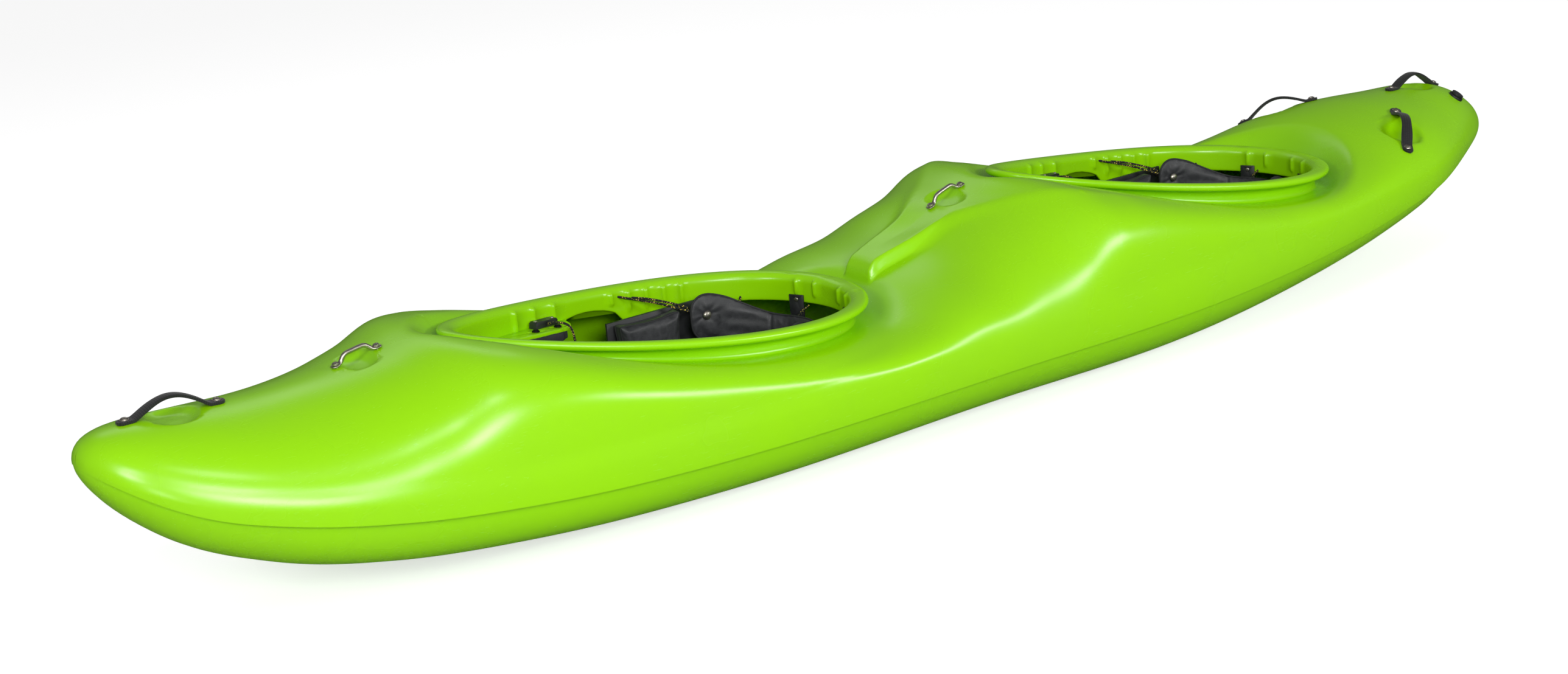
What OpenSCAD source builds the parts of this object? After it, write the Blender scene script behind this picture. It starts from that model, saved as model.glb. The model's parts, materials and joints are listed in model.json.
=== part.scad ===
// Tandem whitewater kayak: hollow moulded hull, two cockpits with their outfitting, handles and bars.
// Bow towards +X, port side towards +Y, Z up. The origin is under the middle of the hull, on the floor.

/* [Hull] */
// Length over all
hull_length = 3660; // [3300:10:4000]
// Beam at the gunwale
hull_beam = 730; // [680:5:800]
// Height of the gunwale amidships above the floor
gunwale_height = 200; // [180:2:230]
// Highest rise of the deck above the gunwale
deck_rise = 240; // [210:2:270]
// Thickness of the moulded skin
wall = 6; // [4:0.5:8]
// How far the lower side steps in under the rail crease
crease_step = 8; // [4:1:12]
// Height of the spine ridge at its step behind the front cockpit
ridge_height = 27; // [15:1:35]
// Half breadth of the spine ridge at its step
ridge_half_width = 36; // [25:1:45]
// Position of the ridge step ahead of amidships
ridge_step_x = 150; // [130:2:170]

/* [Coaming] */
// Half length of the rim, over the lip
rim_half_length = 466; // [430:2:490]
// Half breadth of the rim, over the lip
rim_half_width = 268; // [245:1:285]
// How much narrower the rim is at the front than at the back
rim_taper = 0.3; // [0.15:0.01:0.35]
// Rise of both rim ends above a straight line
rim_sag = 20; // [5:1:30]
// Width of the lip outside the coaming wall
lip_width = 30; // [22:1:36]
// Thickness of the lip
lip_thick = 17; // [12:1:20]
// Depth of the coaming skirt below the rim
skirt_depth = 75; // [65:1:90]
// Thickness of the coaming wall and skirt
coaming_wall = 8; // [6:0.5:10]
// Groove below the rim at its front end
groove_front = 30; // [26:1:36]
// Groove below the rim at its back end
groove_back = 48; // [40:1:55]

/* [Cockpits] */
// Middle of the front rim ahead of amidships
front_cockpit_x = 653; // [620:1:690]
// Height of the front rim above the gunwale
front_rim_rise = 139; // [125:1:150]
// Slope of the front rim, up towards the bow
front_rim_slope = 0.125; // [0.09:0.005:0.15]
// Middle of the rear rim, behind amidships when negative
rear_cockpit_x = -714; // [-750:1:-690]
// Height of the rear rim above the gunwale
rear_rim_rise = 148; // [135:1:160]
// Slope of the rear rim, up towards the bow
rear_rim_slope = 0.155; // [0.12:0.005:0.17]

/* [Handles] */
// Breadth of the webbing
strap_width = 25; // [20:1:32]
// Thickness of the webbing
strap_thick = 6; // [4:0.5:8]
// Flat end of the webbing around each screw
strap_tab = 28; // [24:1:34]
// Rise of the handle loops above the deck
handle_rise = 28; // [20:1:40]
// Distance between the screws of the bow handle
bow_handle_span = 168; // [150:2:190]
// Middle of the bow handle behind the bow tip
bow_handle_inset = 180; // [165:1:200]
// Distance between the screws of the stern handle
stern_handle_span = 158; // [140:2:175]
// Middle of the stern handle ahead of the stern tip
stern_handle_inset = 207; // [195:1:225]
// Inner screw of the quarter handles ahead of the stern tip
quarter_inner_inset = 427; // [410:1:445]
// Outer screw of the quarter handles ahead of the stern tip
quarter_outer_inset = 537; // [520:1:555]
// Inner screw of the quarter handles off the middle line
quarter_inner_y = 130; // [115:1:145]
// Outer screw of the quarter handles off the middle line
quarter_outer_y = 255; // [240:1:265]
// Diameter of the handle screws
screw_d = 6; // [5:0.5:8]
// Diameter of the screw heads
screw_head_d = 15; // [12:0.5:18]

/* [Security bars] */
// Diameter of the steel rod
bar_d = 9; // [7:0.5:12]
// Distance between the bolts of a bar
bar_span = 84; // [76:1:100]
// Rise of the rod above the deck
bar_rise = 17; // [12:1:24]
// Middle of the front bar ahead of amidships
front_bar_x = 1292; // [1275:1:1310]
// Middle of the mid bar, behind amidships when negative
mid_bar_x = -106; // [-116:1:-96]
// Depth of the finger dishes under bars and handles
dish_depth = 14; // [8:1:18]

/* [Drain] */
// Middle of the drain ahead of the stern tip
drain_inset = 150; // [140:1:160]
// Middle of the drain to port of the middle line
drain_side = 88; // [80:1:92]
// Outer diameter of the drain socket
drain_socket_d = 36; // [32:1:40]
// Diameter of the plug's shank
drain_plug_d = 20; // [16:1:24]
// Height of the socket's collar above the deck
drain_socket_h = 4.5; // [3.5:0.5:6]

/* [Seats] */
// Length of the seat pan
seat_length = 420; // [390:5:440]
// Front edge of the seat pan ahead of the rim's middle
seat_front = 70; // [50:2:90]
// Breadth of the seat base on the floor
seat_base_width = 220; // [200:2:240]
// Distance between the inner faces of the side walls
seat_inner_width = 412; // [396:2:420]
// Thickness of the seat pan
seat_wall = 6; // [4:0.5:8]
// Height of the side walls above the seat base
seat_side_height = 262; // [240:2:280]
// Length of the side walls
seat_side_length = 325; // [310:5:350]
// Length of the low part of the side walls, in front of the hip pads
seat_low_length = 78; // [60:2:84]
// Height of that low part, which carries the foot rails
seat_low_height = 172; // [160:2:190]
// Thickness of the seat pad
seat_pad_thick = 18; // [10:1:25]

/* [Hip pads] */
// Length of a hip pad
hip_length = 160; // [140:2:170]
// Height of a hip pad
hip_height = 160; // [140:2:180]
// Thickness of a hip pad
hip_thick = 42; // [30:1:48]
// Top of the hip pads below the rim's height
hip_drop = 57; // [50:1:70]

/* [Backbands] */
// Half breadth of the band, on its middle line
band_half_width = 165; // [155:1:172]
// Depth of the band's curve from its ends to its back
band_depth = 180; // [160:2:190]
// Ends of the band behind the rim's middle
band_end_x = 190; // [180:1:200]
// Thickness of the band
band_thick = 24; // [18:1:28]
// Top of the band's back below the rim's height
band_top_drop = 98; // [88:1:108]
// Height of the band at its back
band_height = 118; // [100:2:130]
// How much the ends stand higher than the back
band_wing_rise = 66; // [50:1:75]
// Diameter of the pivot rivets
pivot_d = 10; // [8:0.5:12]
// Pivot behind the band's ends
pivot_inset = 32; // [26:1:38]
// Pivot below the rim's height
pivot_drop = 88; // [80:1:96]

/* [Thigh hooks] */
// Thickness of the hook plates
hook_thick = 6; // [4:0.5:8]
// Reach of the hook plates inside the coaming wall
hook_reach = 62; // [54:1:70]
// Top of the hook plates below the rim's straight line
hook_drop = 44; // [38:1:50]
// Thickness of the foam thigh pads
thigh_pad_thick = 18; // [12:1:22]
// Travel of the thigh pads either way
thigh_travel = 15; // [10:1:20]
// Diameter of the thigh pad bolts
thigh_bolt_d = 8; // [6:0.5:9]
// Distance between the two thigh pad bolts
thigh_bolt_gap = 60; // [52:1:70]

/* [Cleats] */
// Length of a cord cleat
cleat_length = 66; // [56:1:76]
// Breadth of a cord cleat
cleat_width = 18; // [14:1:22]
// Height of a cord cleat
cleat_height = 14; // [10:1:18]
// Diameter of the cleat screws
cleat_screw_d = 5; // [4:0.5:6]
// Diameter of the cords
cord_d = 5; // [4:0.5:6]

/* [Foot bulkheads] */
// Breadth of the plate between its brackets
bulkhead_width = 360; // [340:2:370]
// Height of the plate
bulkhead_height = 140; // [120:2:160]
// Thickness of the plate
bulkhead_thick = 10; // [8:1:14]
// Thickness of the foam on the plate
bulkhead_foam = 28; // [20:1:35]
// Travel of the bulkhead either way
bulkhead_travel = 50; // [30:1:60]
// Height of the rails
rail_height = 25; // [20:1:30]
// Thickness of the rails
rail_thick = 5; // [4:0.5:6]
// Rails past the brackets at the end of the travel
rail_past = 35; // [20:1:45]
// Middle of the plate below the rails
bulkhead_drop = 25; // [15:1:35]
// Bulkhead ahead of the rim's middle
bulkhead_reach = 705; // [690:1:720]
// Slope of the rails, up towards the bow
rail_slope = 0.12; // [0.09:0.005:0.14]

/* [Foam pillars] */
// Thickness of the foam pillars
pillar_thick = 70; // [50:2:90]
// Length of the bow pillar
bow_pillar_length = 140; // [110:2:150]
// Length of the stern pillar
stern_pillar_length = 265; // [220:5:280]

/* [Fits] */
// Gap between pieces that sit on one another
seat_gap = 0.3; // [0.2:0.05:0.5]
// Gap between a piece and the hull's curved skin
curve_gap = 0.7; // [0.6:0.05:0.9]
// Radial gap of a running pin
pin_gap = 0.08; // [0.05:0.01:0.1]

/* [Hidden] */
$fn = 48;

lime = "#8FDC00";
black = "#1C1D1E";
dark_grey = "#33363A";
steel = "#C4C8CC";
half_len = hull_length / 2;
front = 0;
rear = 1;
port = 1;
starboard = -1;
// Places along the hull are written for this length, and move with the length over all.
written_length = 3660;
stretch = hull_length / written_length;
cockpit_x = [front_cockpit_x, rear_cockpit_x] * stretch;
ridge_x = ridge_step_x * stretch;
rim_rise = [front_rim_rise, rear_rim_rise];
rim_slope = [front_rim_slope, rear_rim_slope];

// Lines of the hull: the first number is the place along half the length, stern -1 to bow 1.
// Height of the gunwale, in gunwale heights.
sheer_line = [
  [-1, 1.28], [-0.87, 1.28], [-0.71, 1.21], [-0.55, 1.12], [-0.33, 1.04], [0, 1], [0.38, 1], [0.6, 1.04],
  [0.74, 1.11], [0.85, 1.26], [0.93, 1.46], [0.97, 1.63], [1, 1.78]
];
// Depth of the keel below the gunwale, in gunwale heights. It passes the floor amidships.
depth_line = [
  [-1, 0.4], [-0.87, 0.58], [-0.77, 0.73], [-0.63, 0.88], [-0.5, 0.97], [-0.33, 1.06], [0, 1.02],
  [0.33, 1.02], [0.49, 0.96], [0.6, 0.9], [0.71, 0.83], [0.85, 0.76], [0.95, 0.69], [1, 0.63]
];
// Height of the deck's middle line above the gunwale, in deck rises, with a knee ahead of each cockpit.
crown_line = [
  [-1, 0.48], [-0.93, 0.6], [-0.84, 0.555], [-0.755, 0.545], [-0.7, 0.485], [-0.645, 0.36], [-0.575, 0.275],
  [-0.465, 0.335], [-0.33, 0.575], [-0.245, 0.735], [-0.19, 0.86], [-0.11, 1], [-0.077, 0.925],
  [-0.038, 0.8], [0, 0.625], [0.066, 0.45], [0.11, 0.325], [0.164, 0.26], [0.273, 0.355], [0.383, 0.51],
  [0.49, 0.675],
  [0.546, 0.79], [0.6, 0.895], [0.645, 0.94], [0.683, 0.86], [0.727, 0.785], [0.792, 0.715], [0.85, 0.68],
  [0.93, 0.665], [1, 0.62]
];
// Squareness of the deck's cross section: 2 is an ellipse, more is boxier.
deck_squareness = [
  [-1, 2], [-0.82, 2], [-0.71, 2.2], [-0.6, 3], [-0.49, 3.4], [-0.33, 4.4], [-0.245, 5], [-0.165, 4],
  [-0.1, 2.4], [0, 2.4], [0.08, 3], [0.27, 3.6], [0.41, 4.4], [0.52, 5], [0.59, 4], [0.655, 2.6],
  [0.72, 2.1], [1, 2]
];
// Squareness of the bottom's cross section.
bilge_squareness = [[-1, 2.2], [-0.77, 2.4], [-0.49, 2.6], [0.33, 2.6], [0.55, 2.8], [0.77, 2.8], [1, 2.2]];
// Fullness of the plan at the ends, and of the tips in profile.
bow_fullness = 3;
stern_fullness = 3.2;
tip_fullness = 10;
// The tail draws in by this share of its breadth, from this place aft.
tail_pinch = 0.26;
tail_from = -0.73;
// Rail crease, in depths below the gunwale.
crease_top = 0.36;
crease_bottom = 0.44;
// Finger dishes: middle along X, half length, half breadth, depth.
bow_handle_x = half_len - bow_handle_inset;
stern_handle_x = stern_handle_inset - half_len;
drain_x = drain_inset - half_len;
dish_half_width = 56;
bow_dish = [bow_handle_x, 50, dish_half_width, dish_depth];
front_bar_dish = [front_bar_x * stretch, 34, dish_half_width, dish_depth];
mid_bar_dish = [mid_bar_x * stretch, 34, dish_half_width, dish_depth];
stern_dish = [stern_handle_x, 46, dish_half_width, dish_depth];
dishes = [bow_dish, front_bar_dish, mid_bar_dish, stern_dish];
// How far the deck falls off into the groove round a rim, and where that starts inside the lip.
groove_reach = 65;
groove_start = -15;

// Smooth curves
function clamp(v, lo, hi) = max(lo, min(hi, v));
function ease(a, b, v) = let (u = clamp((v - a) / (b - a), 0, 1)) u * u * (3 - 2 * u);
function span_at(k, v, i = 0) = i >= len(k) - 2 || v < k[i + 1][0] ? i : span_at(k, v, i + 1);
function rate(k, i) = (k[i + 1][1] - k[i][1]) / (k[i + 1][0] - k[i][0]);
function tangent(k, i) =
  i == 0 ? rate(k, 0)
  : i == len(k) - 1 ? rate(k, i - 1)
  : let (h = k[i][0] - k[i - 1][0], g = k[i + 1][0] - k[i][0])
    (rate(k, i - 1) * g + rate(k, i) * h) / (g + h);
function curve(k, v) =
  let (
    i = span_at(k, v),
    h = k[i + 1][0] - k[i][0],
    u = clamp((v - k[i][0]) / h, 0, 1),
    a = (2 * u - 3) * u * u + 1,
    b = ((u - 2) * u + 1) * u * h,
    c = (u - 1) * u * u * h
  )
  a * k[i][1] + b * tangent(k, i) + (1 - a) * k[i + 1][1] + c * tangent(k, i + 1);

// Hull lines in millimetres
function place(x) = clamp(x / half_len, -1, 1);
function tips(x) = sqrt(max(0, 1 - pow(abs(place(x)), tip_fullness)));
function sheer_z(x) = gunwale_height * curve(sheer_line, place(x));
function keel_depth(x) = gunwale_height * curve(depth_line, place(x)) * tips(x);
function crown(x) = deck_rise * curve(crown_line, place(x)) * tips(x);
function half_beam(x) =
  let (
    t = place(x),
    drawn_in = 1 - tail_pinch * ease(tail_from, -1, t)
  )
  hull_beam / 2 * drawn_in * sqrt(max(0, 1 - pow(abs(t), x > 0 ? bow_fullness : stern_fullness)));

// Rims
function rim_x(c, turn, inset) = cockpit_x[c] + (rim_half_length - inset) * cos(turn);
function rim_y(c, turn, inset) = (rim_half_width - inset) * sin(turn) * (1 - rim_taper * cos(turn));
function rim_line_z(c, x) = gunwale_height + rim_rise[c] + rim_slope[c] * (x - cockpit_x[c]);
function rim_z(c, x) = rim_line_z(c, x) + rim_sag * pow((x - cockpit_x[c]) / rim_half_length, 2);
function nearest_cockpit(x) = abs(x - cockpit_x[front]) < abs(x - cockpit_x[rear]) ? front : rear;
function opening_y(x) =
  let (
    c = nearest_cockpit(x),
    q = (x - cockpit_x[c]) / (rim_half_length - lip_width)
  )
  abs(q) >= 1 ? 0 : (rim_half_width - lip_width) * sqrt(1 - q * q) * (1 - rim_taper * q);
function rim_distance(x, y) =
  let (
    c = nearest_cockpit(x),
    q = (x - cockpit_x[c]) / rim_half_length,
    s = y / (rim_half_width * (1 - rim_taper * clamp(q, -1.3, 1.3)))
  )
  norm([x - cockpit_x[c], y]) * (1 - 1 / max(0.01, norm([q, s])));
function groove_z(x) =
  let (
    c = nearest_cockpit(x),
    q = clamp((x - cockpit_x[c]) / rim_half_length, -1.3, 1.3),
    drop = groove_front + (groove_back - groove_front) * (1 - ease(-0.2, 0.9, q))
  )
  rim_line_z(c, cockpit_x[c] + q * rim_half_length) + rim_sag * q * q - drop;

// Deck surface
function ridge(x, y) =
  let (
    aft = (ridge_x - x) / ridge_x,
    w = ridge_half_width * (1 + 0.4 * ease(0, 1, aft) + 3 * ease(1, 2.4, aft))
  )
  ridge_height * ease(0, 0.05, aft) * (1 - ease(0.3, 2, aft)) * (1 - ease(w, w * 1.4, abs(y)));
function dish(d, x, y) =
  let (r = pow((x - d[0]) / d[1], 2) + pow(y / d[2], 2))
  r < 1 ? d[3] * pow(1 - r * r, 2) : 0;
function plain_deck_z(x, y) =
  let (
    n = curve(deck_squareness, place(x)),
    q = min(1, abs(y) / max(1, half_beam(x)))
  )
  sheer_z(x) + crown(x) * pow(max(0, 1 - pow(q, n)), 1 / n) + ridge(x, y);
function deck_z(x, y) =
  let (
    w = 1 - ease(groove_start, groove_reach, rim_distance(x, y)),
    z = plain_deck_z(x, y) * (1 - w) + groove_z(x) * w
  )
  z - max([for (d = dishes) dish(d, x, y)]);

// Hull grid: stations along X, and rows from the keel out and over to the deck's middle line
rim_steps = 16;
function fill(a, b, n) = [for (i = [1:n - 1]) a + (b - a) * i / n];
function across(d) = [for (i = [-1:0.5:1]) d[0] + i * d[1]];
function opening_stations(c) = [for (k = [0:rim_steps]) rim_x(c, 180 - 180 * k / rim_steps, lip_width)];
function ends_of(c) = [rim_x(c, 180, lip_width), rim_x(c, 0, lip_width)];
tip_shares = [0.3, 0.6, 0.82, 0.95];
tail_step = 20;
tail_steps = 5;
stern_start = stern_dish[0] - stern_dish[1] - tail_step * tail_steps;
bow_start = bow_dish[0] + bow_dish[1];
stern_part = concat(
  [-half_len],
  [for (i = [3:-1:0]) stern_start - (half_len + stern_start) * tip_shares[i]],
  [for (i = [0:tail_steps - 1]) stern_start + i * tail_step],
  across(stern_dish),
  fill(stern_dish[0] + stern_dish[1], ends_of(rear)[0], 6)
);
mid_part = concat(
  fill(ends_of(rear)[1], mid_bar_dish[0] - mid_bar_dish[1], 3),
  across(mid_bar_dish),
  fill(mid_bar_dish[0] + mid_bar_dish[1], ridge_x - 9, 4),
  [ridge_x - 9, ridge_x],
  fill(ridge_x, ends_of(front)[0], 2)
);
bow_part = concat(
  fill(ends_of(front)[1], front_bar_dish[0] - front_bar_dish[1], 4),
  across(front_bar_dish),
  fill(front_bar_dish[0] + front_bar_dish[1], bow_dish[0] - bow_dish[1], 4),
  across(bow_dish),
  [for (f = tip_shares) bow_start + (half_len - bow_start) * f],
  [half_len]
);
stations = concat(stern_part, opening_stations(rear), mid_part, opening_stations(front), bow_part);
rear_opening = len(stern_part);
front_opening = rear_opening + rim_steps + 1 + len(mid_part);
last_station = len(stations) - 1;

bottom_turns = [90, 78, 62, 46, 32, 21, 15, 7];
deck_steps = 6;
deck_offsets = [64, 34, 17, 0];
last_row = len(bottom_turns) + deck_steps + len(deck_offsets) - 1;
function bottom_point(x, turn) =
  let (
    m = curve(bilge_squareness, place(x)),
    b = half_beam(x),
    share = pow(sin(turn), 2 / m),
    step = crease_step * ease(crease_top, crease_bottom, share) * min(1, b / 100),
    y = b * pow(max(0, cos(turn)), 2 / m)
  )
  [max(0, y - step), max(0, sheer_z(x) - keel_depth(x) * share)];
// Breadth at a share of the deck's turn from the gunwale to a breadth y.
function deck_breadth(x, y, share) =
  let (
    n = curve(deck_squareness, place(x)),
    b = half_beam(x),
    edge = atan(pow(max(0, pow(b / max(1, y), n) - 1), 1 / n)),
    t = tan(edge * share)
  )
  b * pow(1 + pow(t, n), -1 / n);
function section(x) =
  let (
    b = half_beam(x),
    o = opening_y(x),
    k = min(1, b / 180),
    outer = o + deck_offsets[0] * k
  )
  concat(
    [for (t = bottom_turns) bottom_point(x, t)],
    [for (j = [0:deck_steps - 1]) let (y = deck_breadth(x, outer, j / deck_steps)) [y, deck_z(x, y)]],
    [for (d = deck_offsets) [o + d * k, deck_z(x, o + d * k)]]
  );
sections = [for (x = stations) section(x)];
function shut(i) = opening_y(stations[i]) < 0.01;
// Unit normal of a section at a row, pointing out of the hull.
function row_normal(s, j) =
  let (
    a = j == 0 ? [-s[1][0], s[1][1]] : s[j - 1],
    b = j == last_row ? [-s[j - 1][0], s[j - 1][1]] : s[j + 1],
    t = b - a
  )
  [t[1], -t[0]] / max(0.001, norm(t));
// Inner rows leave out some of the outer ones where the skin is nearly straight.
inner_rows = [0, 1, 2, 3, 4, 6, 8, 10, 12, 14, 15, 16, 17];
last_inner = len(inner_rows) - 1;
floor_rows = 5;
ceiling_row = 7;
first_inner_station = 3;
last_inner_station = last_station - 3;
function inner_section(x) =
  let (s = section(x))
  [for (j = inner_rows)
    let (p = s[j] - wall * row_normal(s, j))
    [j == 0 || (j == last_row && opening_y(x) < 0.01) ? 0 : max(0, p[0]), p[1]]];
inner_sections = [for (x = stations) inner_section(x)];
// Height of the inside's floor and ceiling off the middle line.
function line_at(k, v) =
  let (
    i = span_at(k, v),
    u = clamp((v - k[i][0]) / (k[i + 1][0] - k[i][0]), 0, 1)
  )
  k[i][1] * (1 - u) + k[i + 1][1] * u;
function floor_z(x, y) =
  let (s = inner_section(x)) line_at([for (q = [0:floor_rows - 1]) s[q]], abs(y));
function ceiling_z(x, y) =
  let (s = inner_section(x)) line_at([for (q = [last_inner:-1:ceiling_row]) s[q]], abs(y));
// Rings of a coaming, from under the lip over the rim and down the skirt: inset from the lip's edge, height.
wall_inset = lip_width + coaming_wall;
coaming_rings = [
  [lip_width, 2 - lip_thick], [4, 2 - lip_thick], [0, -lip_thick / 2], [2, -2], [10, 2], [lip_width - 4, 2],
  [wall_inset - 2, -3], [wall_inset, -12], [wall_inset, -skirt_depth], [lip_width + 2, -skirt_depth]
];
loop_size = 2 * rim_steps;
function loop_turn(l) = 180 * l / rim_steps;
function ring_point(c, l, ring) =
  let (
    x = rim_x(c, loop_turn(l), ring[0])
  )
  [x, rim_y(c, loop_turn(l), ring[0]), rim_z(c, x) + ring[1]];
function skirt_top(c, l) =
  let (
    x = rim_x(c, loop_turn(l), lip_width + 2)
  )
  [x, rim_y(c, loop_turn(l), lip_width + 2), groove_z(x) - wall];

// Numbering of the hull's points
rows = last_row + 1;
inner_count = len(inner_rows);
side_block = len(stations) * rows;
inner_base = 2 * side_block;
inner_block = len(stations) * inner_count;
ring_base = inner_base + 2 * inner_block;
ring_block = len(coaming_rings) * loop_size;
cap_base = ring_base + 2 * ring_block;
function at_tip(i) = i == 0 || i == last_station;
function outer_id(s, i, j) =
  at_tip(i) ? i * rows
  : (j == 0 || (j == last_row && shut(i)) ? 0 : s) * side_block + i * rows + j;
function inner_id(s, i, q) =
  inner_base + (q == 0 || (q == last_inner && shut(i)) ? 0 : s) * inner_block + i * inner_count + q;
function opening_start(c) = c == front ? front_opening : rear_opening;
function loop_station(c, l) = opening_start(c) + rim_steps - (l <= rim_steps ? l : loop_size - l);
function loop_side(l) = l <= rim_steps ? 0 : 1;
function ring_id(c, r, l) =
  let (k = l % loop_size)
  r < 0 ? outer_id(loop_side(k), loop_station(c, k), last_row)
  : r >= len(coaming_rings) ? inner_id(loop_side(k), loop_station(c, k), last_inner)
  : ring_base + c * ring_block + r * loop_size + k;
function opening_of(i) = i >= front_opening ? front : rear;
function within(i, start) = i >= start && i <= start + rim_steps;
function in_opening(i) = within(i, front_opening) || within(i, rear_opening);
function station_loop(s, i) =
  let (k = rim_steps - (i - opening_start(opening_of(i))))
  s == 0 ? k : loop_size - k;
function inner_vertex(s, i, q) =
  q == last_inner && in_opening(i) ? skirt_top(opening_of(i), station_loop(s, i))
  : let (p = inner_sections[i][q]) [stations[i], (s == 0 ? 1 : -1) * p[0], p[1]];
// Two triangles of a four-sided face, without any that has shrunk to a line.
function proper(f) = f[0] != f[1] && f[1] != f[2] && f[2] != f[0];
function two(a, b, c, d) = [for (f = [[a, b, c], [a, c, d]]) if (proper(f)) f];
hull_points = concat(
  [for (s = [0, 1], i = [0:last_station], j = [0:last_row])
    [stations[i], (s == 0 ? 1 : -1) * sections[i][j][0], sections[i][j][1]]],
  [for (s = [0, 1], i = [0:last_station], q = [0:last_inner]) inner_vertex(s, i, q)],
  [for (c = [front, rear], ring = coaming_rings, l = [0:loop_size - 1]) ring_point(c, l, ring)],
  [for (i = [first_inner_station, last_inner_station])
    [stations[i], 0, (inner_sections[i][0][1] + inner_sections[i][last_inner][1]) / 2]]
);
hull_faces = [
  for (i = [0:last_station - 1], j = [0:last_row - 1])
    each two(outer_id(0, i, j), outer_id(0, i + 1, j), outer_id(0, i + 1, j + 1), outer_id(0, i, j + 1)),
  for (i = [0:last_station - 1], j = [0:last_row - 1])
    each two(outer_id(1, i, j), outer_id(1, i, j + 1), outer_id(1, i + 1, j + 1), outer_id(1, i + 1, j)),
  for (i = [first_inner_station:last_inner_station - 1], q = [0:last_inner - 1])
    each two(inner_id(0, i, q), inner_id(0, i, q + 1), inner_id(0, i + 1, q + 1), inner_id(0, i + 1, q)),
  for (i = [first_inner_station:last_inner_station - 1], q = [0:last_inner - 1])
    each two(inner_id(1, i, q), inner_id(1, i + 1, q), inner_id(1, i + 1, q + 1), inner_id(1, i, q + 1)),
  for (c = [front, rear], r = [-1:len(coaming_rings) - 1], l = [0:loop_size - 1])
    each two(ring_id(c, r, l), ring_id(c, r + 1, l), ring_id(c, r + 1, l + 1), ring_id(c, r, l + 1)),
  for (q = [0:last_inner - 1])
    each [
      [cap_base, inner_id(0, first_inner_station, q + 1), inner_id(0, first_inner_station, q)],
      [cap_base, inner_id(1, first_inner_station, q), inner_id(1, first_inner_station, q + 1)],
      [cap_base + 1, inner_id(0, last_inner_station, q), inner_id(0, last_inner_station, q + 1)],
      [cap_base + 1, inner_id(1, last_inner_station, q + 1), inner_id(1, last_inner_station, q)]
    ]
];
module hull_shell() {
  color(lime)
    polyhedron(points = hull_points, faces = hull_faces, convexity = 10);
}

// Helpers that place things
// Unit vectors along a pair of deck points, across it, and up from the deck.
slope_step = 4;
function deck_normal(p) =
  let (
    gx = (deck_z(p[0] + slope_step, p[1]) - deck_z(p[0] - slope_step, p[1])) / (2 * slope_step),
    gy = (deck_z(p[0], p[1] + slope_step) - deck_z(p[0], p[1] - slope_step)) / (2 * slope_step)
  )
  [-gx, -gy, 1] / norm([gx, gy, 1]);
function deck_frame(ends) =
  let (
    a = (ends[1] - ends[0]) / norm(ends[1] - ends[0]),
    n = deck_normal(ends[0]) + deck_normal(ends[1]),
    v = n - a * (n * a),
    up = v / norm(v)
  )
  [a, cross(up, a), up];
// How far a flat foot at each end has to rise to clear the deck's curve.
function foot_lift(ends, reach, half_width) =
  let (f = deck_frame(ends))
  max([
    for (e = ends, o = [-reach, 0, reach], w = [-half_width, 0, half_width])
      let (p = e + o * f[0] + w * f[1])
      (deck_z(p[0], p[1]) - p[2]) * f[2][2]
  ]);
module on_deck(ends, reach, half_width) {
  f = deck_frame(ends);
  m = (ends[0] + ends[1]) / 2 + (foot_lift(ends, reach, half_width) + curve_gap) * f[2];
  multmatrix([for (k = [0:2]) [f[0][k], f[1][k], f[2][k], m[k]]])
    children();
}
module both_sides() {
  children();
  mirror([0, 1, 0])
    children();
}
module side(s) {
  mirror([0, s == port ? 0 : 1, 0])
    children();
}
// Closed skin through rings of points, with a flat fan at each end.
module loft(rings) {
  n = len(rings[0]);
  m = len(rings);
  centres = [for (r = [rings[0], rings[m - 1]]) centre_of(r)];
  polyhedron(
    points = concat([for (r = rings) each r], centres),
    faces = [
      for (i = [0:m - 2], k = [0:n - 1])
        each two(i * n + k, i * n + (k + 1) % n, (i + 1) * n + (k + 1) % n, (i + 1) * n + k),
      for (k = [0:n - 1]) [m * n, (k + 1) % n, k],
      for (k = [0:n - 1]) [m * n + 1, (m - 1) * n + k, (m - 1) * n + (k + 1) % n]
    ],
    convexity = 6
  );
}
function total(v, i = 0) = i == len(v) - 1 ? v[i] : v[i] + total(v, i + 1);
function centre_of(r) = total(r) / len(r);
function power(v, p) = sign(v) * pow(abs(v), p);

// Handles and their screws
function deck_point(x, y) = [x, y, deck_z(x, y)];
function line_ends(x, span) = [deck_point(x - span / 2, 0), deck_point(x + span / 2, 0)];
bow_handle_ends = line_ends(bow_handle_x, bow_handle_span);
stern_handle_ends = line_ends(stern_handle_x, stern_handle_span);
function quarter_ends(s) = [
  deck_point(quarter_inner_inset - half_len, s * quarter_inner_y),
  deck_point(quarter_outer_inset - half_len, s * quarter_outer_y)
];
all_handle_ends = [bow_handle_ends, stern_handle_ends, quarter_ends(port), quarter_ends(starboard)];
module on_webbing(ends) {
  on_deck(ends, strap_tab / 2, strap_width / 2)
    children();
}
module webbing(ends) {
  span = norm(ends[1] - ends[0]);
  bend = span - strap_tab;
  reach = span / 2 + strap_tab / 2;
  along = concat([-reach], [for (i = [-8:8]) i * bend / 16], [reach]);
  function lift(s) = abs(s) >= bend / 2 ? 0 : handle_rise * pow(cos(180 * s / bend), 1.2);
  color(black)
    on_webbing(ends)
      difference() {
        rotate([90, 0, 0])
          translate([0, 0, -strap_width / 2])
            linear_extrude(strap_width)
              polygon(concat(
                [for (s = along) [s, lift(s)]],
                [for (i = [len(along) - 1:-1:0]) [along[i], lift(along[i]) + strap_thick]]
              ));
        for (s = [-1, 1])
          translate([s * span / 2, 0, -1])
            cylinder(d = screw_d + 1, h = strap_thick + 2);
      }
}
module screw(d, head_d, head_h, length) {
  cylinder(d1 = head_d, d2 = head_d * 0.7, h = head_h);
  translate([0, 0, -length])
    cylinder(d = d, h = length);
}
module bow_handle() {
  webbing(bow_handle_ends);
}
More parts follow.
